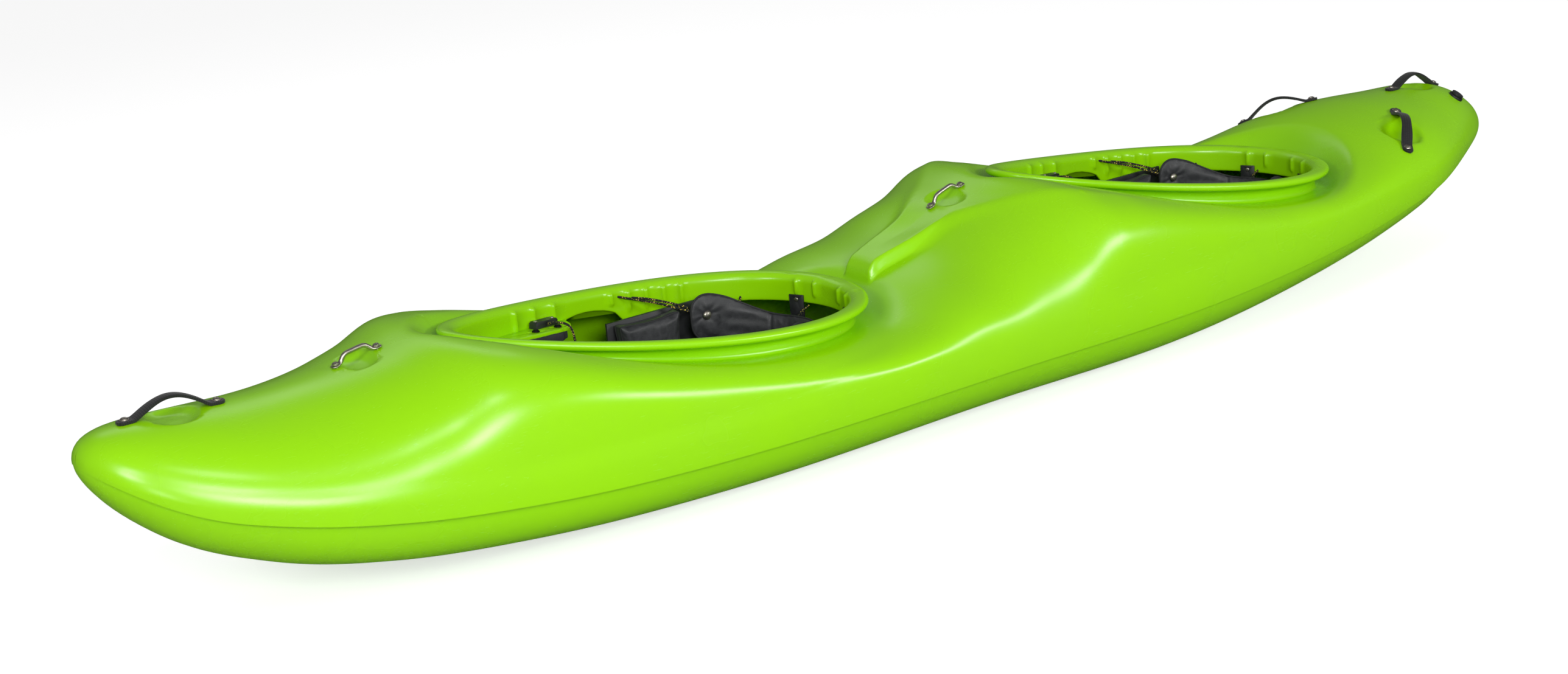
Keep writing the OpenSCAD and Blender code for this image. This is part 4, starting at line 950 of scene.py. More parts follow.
def floor_paint():
    """Matt white floor. For the camera alone it glows a little, and so stays white around the shadow."""
    mat, tree, shader, _ = new_material("matt_white_floor")
    seen = add(tree, "ShaderNodeLightPath")
    # Mirrored in the gloss the floor is darker, like the rest of the room.
    tone = add(tree, "ShaderNodeMix", {
        "Factor": seen.outputs["Is Glossy Ray"], "A": linear("#DCDCDC"), "B": linear("#505050"),
    }, data_type="RGBA")
    plug(tree, shader, {
        "Base Color": tone.outputs["Result"], "Roughness": 0.9, "Specular IOR Level": 0.0,
    })
    glow = add(tree, "ShaderNodeMath", {0: seen.outputs["Is Camera Ray"], 1: 0.62}, operation="MULTIPLY")
    white = add(tree, "ShaderNodeEmission", {"Color": (1, 1, 1, 1), "Strength": glow.outputs[0]})
    both = add(tree, "ShaderNodeAddShader", {0: shader.outputs["BSDF"], 1: white.outputs[0]})
    out = next(n for n in tree.nodes if n.type == "OUTPUT_MATERIAL")
    plug(tree, out, {"Surface": both.outputs[0]})
    return mat


# Sizes and colours


def length_of(name, about, size_mm):
    return FloatProperty(name=name, description=about, default=size_mm * MM, unit="LENGTH")


def colour_of(name, about, code):
    return FloatVectorProperty(
        name=name, description=about, default=linear(code), size=4, subtype="COLOR", min=0, max=1,
    )


class KayakSizes(bpy.types.PropertyGroup):
    """Sizes of the details that the solids leave out."""

    rib_height: length_of("Rib height", "How far the coaming ribs stand proud", 6.2)
    rib_width: length_of("Rib width", "Breadth of a coaming rib at its foot", 13)
    crease_step: length_of("Crease step", "How far the side steps in under the rail crease", 10)
    rail_proud: length_of("Rail", "How far the rail stands out at its upper edge", 4.5)
    skin: length_of("Skin", "Thickness of the moulded skin", 6)
    strap_width: length_of("Strap width", "Breadth of the handle webbing", 25)
    strap_thick: length_of("Strap thickness", "Thickness of the handle webbing", 5.6)
    handle_rise: length_of("Handle rise", "Rise of the handle loops above the deck", 28)
    bar_rod: length_of("Bar rod", "Diameter of the security bars", 9)
    cord: length_of("Cord", "Diameter of the outfitting cords", 5)
    piping: length_of("Piping", "Diameter of the piping on the pads", 4.2)
    swell: length_of("Swell", "Most that a pad swells when it is stuffed", 5)


class KayakColours(bpy.types.PropertyGroup):
    """Colours of the finishes."""

    shell: colour_of("Shell", "Moulded hull", "#8ED200")
    shell_deep: colour_of("Shell, deeper", "Slow drift of the hull's colour", "#88CB00")
    pad: colour_of("Pad cover", "Coated cover of the pads", "#1B1C1E")
    pad_worn: colour_of("Pad cover, worn", "Rubbed places on the pad covers", "#36373A")
    steel: colour_of("Steel", "Bars, bolts and screws", "#B9B3A8")
    tracer: colour_of("Tracer", "Yellow strand in the cords", "#D8C24A")


# Stage: the camera stands where the photograph was taken from
CAMERA_PLACE = (2.949, 3.733, 1.618)
CAMERA_AZIMUTH = 145.87
CAMERA_ELEVATION = 17.17
CAMERA_ROLL = -5.32
IMAGE_WIDTH = 2576
FOCAL_PIXELS = 3800
CAMERA_SHIFT = (0.0184, 0.0016)
SENSOR_WIDTH = 36
FLOOR_SIZE = 60
# The room shines at the first strength, and is mirrored in the gloss at the second.
ROOM_LIGHT = (0.4, 0.12)
# Name, place, size, watts: each lamp is a soft box turned to the middle of the hull.
LAMPS = (
    ("key_box", (2.6, 5.4, 2.6), (2.4, 1.2), 186),
    ("bow_box", (5.0, 2.4, 2.6), (1.0, 1.0), 60),
    ("fill_box", (-2.6, 4.8, 2.4), (2.4, 1.0), 110),
    ("back_box", (-0.6, -4.4, 3.6), (4.0, 1.2), 16),
    ("low_spot_box", (4.54, 3.23, 0.79), (0.4, 0.3), 12),
    ("high_spot_box", (1.83, 2.58, 3.76), (0.4, 0.3), 14),
)
LAMP_TARGET = Vector((0.1, 0, 0.2))


class KAYAK_OT_stage(bpy.types.Operator):
    """Set up the camera, the floor and soft studio light"""

    bl_idname = "kayak.stage"
    bl_label = "Studio stage"

    def execute(self, context):
        scene = context.scene
        scene.view_settings.view_transform = "Standard"
        a, e, r = (math.radians(v) for v in (CAMERA_AZIMUTH, CAMERA_ELEVATION, CAMERA_ROLL))
        back = Vector((math.sin(a) * math.cos(e), -math.cos(a) * math.cos(e), math.sin(e)))
        right = Vector((0, 0, 1)).cross(back).normalized()
        up = back.cross(right)
        axes = (math.cos(r) * right + math.sin(r) * up, math.cos(r) * up - math.sin(r) * right, back)
        data = bpy.data.cameras.new("photo_camera")
        camera = new_object("photo_camera", data)
        camera.matrix_world = frame_matrix(axes, np.array(CAMERA_PLACE) / MM)
        data.sensor_width = SENSOR_WIDTH
        data.sensor_fit = "HORIZONTAL"
        data.lens = FOCAL_PIXELS / IMAGE_WIDTH * SENSOR_WIDTH
        data.shift_x, data.shift_y = CAMERA_SHIFT
        data.clip_start, data.clip_end = 0.05, 200
        scene.camera = camera
        deselect()
        bpy.ops.mesh.primitive_plane_add(size=FLOOR_SIZE, location=(0, 0, 0))
        floor = context.object
        floor.name = "floor"
        floor.data.materials.append(floor_paint())
        scene.world = bpy.data.worlds.new("studio")
        scene.world.use_nodes = True
        tree = scene.world.node_tree
        sky = next(n for n in tree.nodes if n.type == "BACKGROUND")
        # Mirrored in the gloss the room is darker than it shines, as in a studio with black flags.
        ray = add(tree, "ShaderNodeLightPath")
        dim = add(tree, "ShaderNodeMapRange", {
            "Value": ray.outputs["Is Glossy Ray"], "To Min": ROOM_LIGHT[0], "To Max": ROOM_LIGHT[1],
        })
        plug(tree, sky, {"Color": (1, 1, 1, 1), "Strength": dim.outputs[0]})
        for name, spot, size, watts in LAMPS:
            light = bpy.data.lights.new(name, "AREA")
            light.shape = "RECTANGLE"
            light.size, light.size_y = size
            light.energy = watts
            lamp = new_object(name, light)
            lamp.location = spot
            lamp.rotation_euler = (LAMP_TARGET - lamp.location).to_track_quat("-Z", "Y").to_euler()
        return {"FINISHED"}


# Cords, in millimetres from the rim's middle and its height there, on the port side
ADJUST_ROUTE = (
    (-60, 241, -25), (-95, 218, -36), (-130, 197, -48), (-160, 181, -61), (-188.5, 165.7, -74.2),
)
RETURN_ROUTE = (
    (-88, 223, -31), (-112, 207, -36), (-136, 192.5, -44), (-161, 180, -54), (-186, 168, -66.5),
)
SUPPORT_ROUTE = ((-332, 184, -78), (-321, 172, -88), (-310, 160, -97), (-297.8, 147.8, -105.8))
BACK_ROUTE = ((-421, 63, -99), (-405, 61, -105), (-390, 59, -112), (-371.5, 57, -122))
TAIL_ROUTE = (
    (150, 179, -36.7), (146, 168, -36.7), (138, 151, -32), (127, 134, -32), (119, 124, -42),
    (116, 120, -70), (117, 121, -98),
)
# Name, route, the nodes it stands for, and whether its far end moves with the backband.
CORDS = (
    ("adjust_cord", ADJUST_ROUTE, "adjust_cords", True),
    ("return_cord", RETURN_ROUTE, None, True),
    ("support_cord", SUPPORT_ROUTE, "support_cords", True),
    ("back_cord", BACK_ROUTE, "support_cords", True),
    ("tail_cord", TAIL_ROUTE, "cleat_cords", False),
)
KNOT_SCALE = 1.7


def cord_path(c, side, route, slope):
    p = np.array(route, float)
    p[:, 2] += slope * p[:, 0]
    p = path_points(p)
    p += (COCKPIT_X[c], 0, rim_line_z(c, COCKPIT_X[c]))
    return p * (1, side, 1)


def knot(name, at, size):
    """A small overhand knot: a tube along a trefoil."""
    t = np.linspace(0, 2 * math.pi, 60, endpoint=False)
    x, y = np.sin(t) + 2 * np.sin(2 * t), np.cos(t) - 2 * np.cos(2 * t)
    path = np.stack([x, y, -np.sin(3 * t)], 1)
    return tube(name, path * KNOT_SCALE + np.asarray(at), size, 8, closed=True)


class KAYAK_OT_cords(bpy.types.Operator):
    """Lay the adjusting, support and cleat cords along the routes of their solids"""

    bl_idname = "kayak.cords"
    bl_label = "Cords"

    def execute(self, context):
        size = context.scene.kayak_sizes.cord
        cover = braided_cord()
        for c, cockpit in enumerate(COCKPITS):
            for side, sign in SIDES:
                for kind, route, node, moves in CORDS:
                    name = f"{cockpit}_{side}_{kind}"
                    path = cord_path(c, sign, route, 0 if moves else RIM_SLOPE[c])
                    piece = tube(name, path, size / MM)
                    nodes = [f"{cockpit}_{node}"] if node else []
                    ends = []
                    if moves:
                        band = f"{cockpit}_backband"
                        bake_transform(piece, "hull", band, start=path[0] * MM, end=path[-1] * MM)
                    else:
                        ends = [knot(f"{cockpit}_{side}_tail_knot", path[-1], size / MM)]
                        finish_piece(ends[0], "hull", "cord", cover)
                    finish_piece(piece, "hull", "cord", cover, *nodes)
        return {"FINISHED"}


# Hull skin
RIB_TURNS = (59, 67, 75, 96, 102, 108, 114, 120, 163, 172)
DENT_TURNS = (160, 176)
# The lip from the deck's edge over its top and down the skirt: inset and height.
LIP_PROFILE = (
    (30, -30), (30, -20), (29.4, -17), (27, -15.6), (20, -15.2), (11, -15.2), (5.5, -14.4), (2, -11.8),
    (0.3, -8), (0.6, -4), (2.6, -0.8), (6, 1.2), (10.5, 2.2), (16, 2.4), (22, 2), (27.5, 0.8),
    (32, -1.6), (35.4, -5), (37.3, -9), (38, -14), (38, -22), (38, -30), (38, -38), (38, -46), (38, -54),
    (38, -62), (38, -70), (37.4, -73.6), (35, -75), (32.6, -73.6),
)
# From this inset on the profile is the inside of the skirt, which may be cut short below its head.
SKIRT_INSET = 31
SKIRT_HEAD = 14.0
# Between these depths below the rim the neck blends from the deck's edge to the lip.
NECK_HEAD = 17
NECK_FOOT = 30
# The skirt is cut in an arch beside the hip: middle turn, half its turn, rise. It is shorter behind too.
ARCH = (87.5, 12.5, 36)
BACK_CUT = (128, 142, 18)
RIB_RADIUS = 330
DENT_RADIUS = 400
DENT_HALF = 11
DENT_DEPTH = 3
BOTTOM_TURNS = (90, 84, 77, 69, 61, 53, 45, 38, 32, 26)
# Share of the depth at which the crease under the rail runs, then rows of the side as shares of that.
CREASE_LINE = (
    (-1, 0.3), (-0.77, 0.32), (-0.55, 0.36), (-0.33, 0.36), (-0.11, 0.35), (0, 0.335), (0.22, 0.316),
    (0.44, 0.31), (0.6, 0.285), (0.71, 0.245), (0.82, 0.21), (0.92, 0.2), (0.96, 0.175), (1, 0.1),
)
ABOVE_BOTTOM = (0.3, 0.6, 0.85)
SIDE_SHARES = (1.09, 1.06, 1.045, 1.03, 1.015, 1, 0.985, 0.965, 0.92, 0.78, 0.56, 0.34, 0.14)
RAIL_FADE = 30
DECK_SHARES = 34
# Spacing of the outer and the inner skin's stations, and the length of the tips, where they are closer.
OUTER_STEP = 11
INNER_STEP = 24
INNER_SPACING = 14.0
TIP_LENGTH = 90
# The inner skin takes every third row, stops short of the ends and laps the coaming's edge.
INNER_ROWS = 3
INNER_END = 45
INNER_LAP = 2
# Distances from the opening's edge at which rows of the deck run.
DECK_OFFSETS = (64, 61, 58, 55, 52, 49, 46, 43, 40, 37, 33, 28, 22, 16, 10, 5, 0)


def rim_turns():
    """Turns of half a rim from its front to its back, closer at the ribs."""
    turns = list(np.linspace(0, math.pi, 55))
    fine = [math.radians(r) + k * 0.005 for r in RIB_TURNS for k in (-4, -2.3, 0, 2.3, 4)]
    turns = [t for t in turns if all(abs(t - f) > 0.012 for f in fine)] + fine
    return np.array(sorted(turns))


def skin_stations(step):
    """Places along the hull between the rims, closer at the tips, the dishes and the ridge step."""
    reach = RIM_LENGTH - LIP
    body = HALF_LENGTH - TIP_LENGTH
    breaks = [-body]
    for c in (REAR, FRONT):
        breaks += [COCKPIT_X[c] - reach, COCKPIT_X[c] + reach]
    breaks.append(body)
    tip = TIP_LENGTH * (np.arange(1, 12) / 12) ** 2
    parts = []
    for a, b in zip(breaks[::2], breaks[1::2]):
        parts.append(np.linspace(a, b, int((b - a) / step) + 2)[1:-1])
    fine = np.concatenate([[d[0] + k * d[1] for k in (-1, -0.9, 0.9, 1)] for d in DISHES])
    step_up = RIDGE_FRONT - np.array([0, 1.5, 3, 4.5, 6, 7.5])
    spine = np.arange(-240, 140, 5.0)
    scoops = np.arange(SCOOP[0] - 56, SCOOP[0] + 57, 6.0)
    extra = np.concatenate([-HALF_LENGTH + tip, HALF_LENGTH - tip, fine, step_up, spine, scoops])
    x = np.concatenate([[-body, body], extra, *parts])
    x = np.unique(np.round(x, 2))
    return x[np.concatenate([[True], np.diff(x) > 1.2])]


def hull_section(x):
    """Rows of points from the keel over the side and the deck to the middle line, for stations x."""
    sizes = bpy.context.scene.kayak_sizes
    x = np.asarray(x, float)[:, None]
    b = half_beam(x)
    m = curve(BILGE_SQUARENESS, place(x))
    turn = np.radians(np.array(BOTTOM_TURNS))[None, :] + 0 * x
    share = np.sin(turn) ** (2 / m)
    crease = curve(CREASE_LINE, place(x))
    last = share[:, -1:]
    above = last + (crease * SIDE_SHARES[0] - last) * np.array(ABOVE_BOTTOM)[None, :]
    share = np.concatenate([share, above, crease * np.array(SIDE_SHARES)[None, :]], axis=1)
    side = b * np.maximum(0, 1 - share**m) ** (1 / m)
    # The rail stands out a little at the gunwale, and the side steps in under the crease.
    thin = np.minimum(1, b / 100)
    proud = sizes.rail_proud / MM * thin * (0.35 + 0.65 * ease(-0.1, 0.5, place(x)))
    under = ease(0.98, 1.05, share / crease)
    side = np.maximum(0, side + proud * (1 - under) - sizes.crease_step / MM * thin * under)
    depth = GUNWALE * curve(DEPTH_LINE, place(x)) * tips(x)
    low = np.maximum(0, sheer_z(x) - depth * share)
    n = curve(DECK_SQUARENESS, place(x))
    o = opening_y(x)
    k = np.minimum(1, b / 180)
    outer = o + DECK_OFFSETS[0] * k
    edge = np.arctan(np.maximum(0, (b / np.maximum(1, outer)) ** n - 1) ** (1 / n))
    t = np.tan(edge * np.arange(DECK_SHARES)[None, :] / DECK_SHARES)
    shoulder, around = b * (1 + t**n) ** (-1 / n), o + np.array(DECK_OFFSETS)[None, :] * k
    y = np.minimum(np.concatenate([shoulder, around], axis=1), b)
    high = deck_z(x, y)
    y = y + proud * (1 - np.clip((high - sheer_z(x)) / RAIL_FADE, 0, 1))
    return np.concatenate([side, y], axis=1), np.concatenate([low, high], axis=1)


def inner_section(x, wall):
    """The section one wall further in, with every third row of it."""
    y, z = hull_section(x)
    dy, dz = np.gradient(y, axis=1), np.gradient(z, axis=1)
    size = np.maximum(1e-6, np.hypot(dy, dz))
    y, z = np.maximum(0, y - wall * dz / size), z + wall * dy / size
    rows = np.unique(np.concatenate([np.arange(0, y.shape[1], INNER_ROWS), [y.shape[1] - 1]]))
    y, z = y[:, rows], z[:, rows]
    y[:, 0] = 0
    y[opening_y(x) < 0.01, -1] = 0
    return y, z


def grid(x, y, z):
    return np.stack([np.repeat(x[:, None], y.shape[1], 1), y, z], -1)


def grid_faces(n, m, flip):
    i, j = np.meshgrid(np.arange(n - 1), np.arange(m - 1), indexing="ij")
    a = (i * m + j).ravel()
    f = np.stack([a, a + m, a + m + 1, a + 1], 1)
    return f[:, ::-1] if flip else f


def arc_from(half, turns, radius):
    """Distance along the rim to the nearest of some turns, in millimetres."""
    return np.min([np.abs(half - turn) for turn in turns], axis=0) * math.pi / 180 * radius


def inner_edge(c, turn, wall):
    """Edge of the inner skin under the rim."""
    x = rim_x(c, turn, LIP + INNER_LAP)
    return np.stack([x, rim_y(turn, LIP + INNER_LAP), groove_z(x) - wall], 1)


def coaming_rings(c, loop, wall):
    """Rings of a coaming from the deck's edge over the lip and down the skirt to the inner skin."""
    sizes = bpy.context.scene.kayak_sizes
    half = np.degrees(np.where(loop > math.pi, 2 * math.pi - loop, loop))
    edge_x, edge_y = rim_x(c, loop, LIP), rim_y(loop, LIP)
    edge_z = deck_z(edge_x, np.abs(edge_y))
    arch = ARCH[2] * np.sqrt(np.maximum(0, 1 - ((half - ARCH[0]) / ARCH[1]) ** 2))
    short = arch + BACK_CUT[2] * ease(*BACK_CUT[:2], half)
    rib = 1 - ease(0.25, 1, arc_from(half, RIB_TURNS, RIB_RADIUS) / (sizes.rib_width / MM / 2))
    dent = 1 - ease(0, 1, arc_from(half, DENT_TURNS, DENT_RADIUS) / DENT_HALF)
    depth = SKIRT - SKIRT_HEAD
    rings = [np.stack([edge_x, edge_y, edge_z], 1)]
    for inset, level in LIP_PROFILE:
        skirt = inset > SKIRT_INSET
        down = level
        if skirt and level <= -SKIRT_HEAD:
            down = -SKIRT_HEAD + (level + SKIRT_HEAD) * (depth - short) / depth
        proud = rib * ease(-5, -10, level) * (1 - ease(-44, -56, level)) if skirt else 0
        inner = inset + sizes.rib_height / MM * proud
        x = rim_x(c, loop, inner)
        on_top = 12 < inset < 24 and level > 0
        z = rim_z(c, x) + down - (DENT_DEPTH * dent if on_top else 0)
        if not skirt and level <= -NECK_HEAD:
            share = (level + NECK_FOOT) / (NECK_FOOT - NECK_HEAD) * 0.5
            z = edge_z * (1 - share) + (rim_z(c, x) - NECK_HEAD) * share
        rings.append(np.stack([x, rim_y(loop, inner), z], 1))
    rings.append(inner_edge(c, loop, wall))
    return rings


class KAYAK_OT_hull(bpy.types.Operator):
    """Skin the hull finely along its own lines, with rounded coaming lips, ribs and scoops"""

    bl_idname = "kayak.hull"
    bl_label = "Hull shell"

    def execute(self, context):
        wall = context.scene.kayak_sizes.skin / MM
        turns = rim_turns()
        rims = [rim_x(c, turns, LIP) for c in (FRONT, REAR)]
        points, faces = [], []

        def take(new_points, new_faces):
            start = sum(len(p) for p in points)
            points.append(np.asarray(new_points, float).reshape(-1, 3))
            faces.append(np.asarray(new_faces) + start)

        x = np.sort(np.concatenate([[-HALF_LENGTH, HALF_LENGTH], skin_stations(OUTER_STEP), *rims]))
        y, z = hull_section(x)
        for sign in (1, -1):
            take(grid(x, sign * y, z), grid_faces(*y.shape, sign < 0))
        coarse = skin_stations(INNER_STEP)
        coarse = coarse[np.abs(coarse) < HALF_LENGTH - INNER_END]
        coarse = coarse[np.unique(np.round(coarse / INNER_SPACING), return_index=True)[1]]
        x = np.sort(np.concatenate([coarse, *rims]))
        y, z = inner_section(x, wall)
        halves = []
        for sign in (1, -1):
            half = grid(x, sign * y, z)
            for c in (FRONT, REAR):
                half[np.isin(x, rims[c]), -1] = inner_edge(c, turns[::-1], wall) * (1, sign, 1)
            halves.append(half)
            take(half, grid_faces(*y.shape, sign > 0))
        # The inner skin's ends are closed by fans.
        for row in (0, -1):
            ring = np.concatenate([halves[0][row], halves[1][row][::-1]])
            n = len(ring)
            fan = [(i, (i + 1) % n, n, n) for i in range(n)]
            take(np.concatenate([ring, [ring.mean(0)]]), fan)
        loop = np.concatenate([turns, 2 * math.pi - turns[-2:0:-1]])
        n = len(loop)
        for c in (FRONT, REAR):
            rings = coaming_rings(c, loop, wall)
            a = np.arange((len(rings) - 1) * n)
            b = a - a % n + (a + 1) % n
            take(np.concatenate(rings), np.stack([a, b, b + n, a + n], 1))
        # A corner that a fan repeats is left out of its face.
        corners = [
            [v for k, v in enumerate(f) if k == 0 or v != f[k - 1]] for f in np.concatenate(faces)
        ]
        hull = mesh_piece("hull_skin", np.concatenate(points), corners)
        smooth(join_skin(hull, 0.02 * MM))
        finish_piece(hull, "hull", "polyethylene", moulded_polyethylene(), "hull_shell")
        return {"FINISHED"}


# Handles
STRAP_TAB = 28.0
HANDLES = (
    ("bow_handle", (1566, 0), (1734, 0)),
    ("stern_handle", (-1702, 0), (-1544, 0)),
    ("port_quarter_handle", (-1403, 130), (-1293, 255)),
    ("starboard_quarter_handle", (-1403, -130), (-1293, -255)),
)
# Gap under the webbing, the length over which a tab settles on the deck, and the webbing's crown.
STRAP_GAP = 0.4
STRAP_SETTLE = 26
STRAP_CROWN = 1.2
# Share by which the loop is drawn in where the hand holds it.
STRAP_DRAW = 0.16
SCREW_RINGS = (
    (3, -10), (3, 0), (8.8, 0), (9.2, 0.6), (8.6, 1.5), (6.6, 1.6), (6.4, 3), (5, 4.2),
    (2.4, 4.8), (0.6, 4.9),
)


class KAYAK_OT_handles(bpy.types.Operator):
    """Make the webbing handles, their cup washers and their screws"""

    bl_idname = "kayak.handles"
    bl_label = "Handles"

    def execute(self, context):
        sizes = context.scene.kayak_sizes
        width, thick, rise = (v / MM for v in (sizes.strap_width, sizes.strap_thick, sizes.handle_rise))
        screw = turned("screw", SCREW_RINGS, 28)
        cross_cut(screw, SCREW_RINGS[-1][1], 6, 1.2, 1.6)
        places = []
        for name, a, b in HANDLES:
            ends = np.array([deck_point(*a), deck_point(*b)])
            along, across, up, origin = deck_frame(ends, STRAP_TAB / 2, width / 2)
            span = np.linalg.norm(ends[1] - ends[0])
            bend = span - STRAP_TAB
            deselect()
            bpy.ops.mesh.primitive_grid_add(
                x_subdivisions=72, y_subdivisions=8, size=1, location=(0, 0, 0),
            )
            strap = context.object
            strap.name = f"{name}_strap"
            uv = strap.data.uv_layers.active
            co = coords(strap)
            s = co[:, 0] * (span + STRAP_TAB)
            # The tabs are cut round at their ends.
            past = np.clip((np.abs(s) - span / 2) / (STRAP_TAB / 2), 0, 1)
            corner = np.sqrt(np.maximum(0, 1 - past**3))
            draw = 1 - STRAP_DRAW * ease(0.3, 0.8, 1 - np.abs(s) / (bend / 2))
            w = co[:, 1] * width * np.maximum(0.35, corner) * draw
            lift = rise * np.maximum(0, np.cos(math.pi * np.clip(s / bend, -0.5, 0.5))) ** 1.2
            p = origin + np.outer(s, along) + np.outer(w, across)
            deck = (deck_z(p[:, 0], p[:, 1]) - p[:, 2]) * up[2] + STRAP_GAP
            tab = ease(bend / 2 - STRAP_SETTLE, bend / 2, np.abs(s))
            crown = STRAP_CROWN * (1 - (2 * co[:, 1]) ** 2) * (1 - tab)
            p += np.outer(lift + deck * tab + crown, up)
            set_coords(strap, p * MM)
            corners = [loop.vertex_index for loop in strap.data.loops]
            uv.data.foreach_set("uv", (np.stack([s[corners], w[corners]], 1) * MM).ravel())
            shell = strap.modifiers.new("Webbing", "SOLIDIFY")
            shell.thickness = thick * MM
            shell.offset = 1
            edge = strap.modifiers.new("Edges", "BEVEL")
            edge.width = 1.6 * MM
            edge.segments = 3
            edge.limit_method = "ANGLE"
            edge.angle_limit = math.radians(50)
            turn_out(strap)
            if np.array([f.normal for f in strap.data.polygons])[:, 2].mean() < 0:
                strap.data.flip_normals()
            apply_modifiers(strap)
            smooth(strap, 50)
            finish_piece(strap, "hull", "webbing", woven_webbing(), name)
            for end in (-1, 1):
                foot = origin + end * span / 2 * along
                low = (float(deck_z(foot[0], foot[1])) - foot[2]) * up[2] + STRAP_GAP
                places.append(frame_matrix((along, across, up), foot + (low + thick) * up))
        screws = copies("handle_screw_set", screw, places)
        drop(screw)
        smooth(screws, 35)
        finish_piece(screws, "hull", "steel", stainless_steel(), "handle_screws")
        return {"FINISHED"}


# Security bars
BAR_SPAN = 84.0
BAR_ROD = 9.0
BAR_SIDES = 20
BARS = (("front_security_bar", 1292), ("mid_security_bar", -106))
# Half of the bar from its end: along, height of the middle, half breadth, half thickness.
BAR_HALF = (
    (51, 2.4, 3.4, 1.6), (50.4, 2.4, 6.4, 2.2), (48, 2.4, 8.2, 2.4), (42, 2.5, 9, 2.5),
    (37, 2.8, 8, 2.7), (34, 3.6, 6.2, 3.3), (31.5, 5, 5, 4.2), (29, 7.4, 4.5, 4.5),
    (26.5, 10.4, 4.5, 4.5), (24, 13.2, 4.5, 4.5), (21, 15.4, 4.5, 4.5), (17, 16.7, 4.5, 4.5),
    (12, 17, 4.5, 4.5), (6, 17, 4.5, 4.5), (0, 17, 4.5, 4.5),
)
BOLT_RINGS = (
    (3, -8), (3, 0), (7.4, 0), (7.4, 1), (6, 1.2), (5.8, 3), (4.4, 4.2), (2, 4.8), (0.5, 4.9),
)
BOLT_SEAT = 4.9


class KAYAK_OT_security_bars(bpy.types.Operator):
    """Make the bent steel security bars with flattened ends, and their bolts"""

    bl_idname = "kayak.security_bars"
    bl_label = "Security bars"

    def execute(self, context):
        rod = context.scene.kayak_sizes.bar_rod / MM / BAR_ROD
        bolt = turned("bolt", BOLT_RINGS, 28)
        cross_cut(bolt, BOLT_RINGS[-1][1], 5, 1, 1.5)
        half = [np.array(r, float) for r in BAR_HALF]
        rows = [r * (-1, 1, 1, 1) for r in half[:-1]] + half[::-1]
        around = 2 * math.pi * np.arange(BAR_SIDES) / BAR_SIDES
        places = []
        for name, x in BARS:
            ends = np.array([deck_point(x - BAR_SPAN / 2, 0), deck_point(x + BAR_SPAN / 2, 0)])
            along, across, up, origin = deck_frame(ends, BAR_ROD, BAR_ROD)
            span = np.linalg.norm(ends[1] - ends[0])
            middle = np.array([(r[0] * span / BAR_SPAN, r[1]) for r in rows])
            rings = []
            for i, r in enumerate(rows):
                d = unit(middle[min(i + 1, len(rows) - 1)] - middle[max(i - 1, 0)])
                out, side = r[3] * rod * np.sin(around), r[2] * rod * np.cos(around)
                s, h = middle[i][0] - d[1] * out, middle[i][1] + d[0] * out
                rings.append(origin + np.outer(s, along) + np.outer(side, across) + np.outer(h, up))
            bar = lofted(f"{name}_rod", rings)
            subdivide(bar)
            smooth(bar)
            finish_piece(bar, "hull", "steel", stainless_steel(), name)
            for end in (-1, 1):
                seat = origin + end * span / 2 * along + BOLT_SEAT * up
                places.append(frame_matrix((along, across, up), seat))
        bolts = copies("security_bolt_set", bolt, places)
        drop(bolt)
        smooth(bolts, 35)
        finish_piece(bolts, "hull", "steel", stainless_steel(), "security_bar_bolts")
        return {"FINISHED"}


class KAYAK_OT_drain(bpy.types.Operator):
    """Round the edges of the drain socket and plug, and finish the gasket"""

    bl_idname = "kayak.drain"
    bl_label = "Drain"

    def execute(self, context):
        plastic = moulded_plastic()
        round_node("drain_collar", "drain_socket", 1.2, 3, "black_plastic", plastic)
        round_node("drain_stopper", "drain_plug", 0.8, 3, "black_plastic", plastic)
        round_node("drain_ring", "drain_gasket", 0.5, 3, "rubber", soft_rubber())
        return {"FINISHED"}


# Seats and pads
SEAT_TILT = (0.49, -6.39)
SEAT_BACK_Z = (8.3, 57.6)
SEAT_LENGTH = 420.0
SEAT_FRONT = 70.0
SEAT_HALF = 206.0
# Pad on the seat: length, breadth, thickness, its middle on the seat, and the sewn channels across it.
SEAT_PAD = (356.0, 192.0, 15.0)
SEAT_PAD_PLACE = (210, 0, 15.3)
SEAT_PAD_SWELL = 2.5
CHANNELS = (-89, 0, 89)
CHANNEL_DEPTH = 3.2
CHANNEL_WIDTH = 5


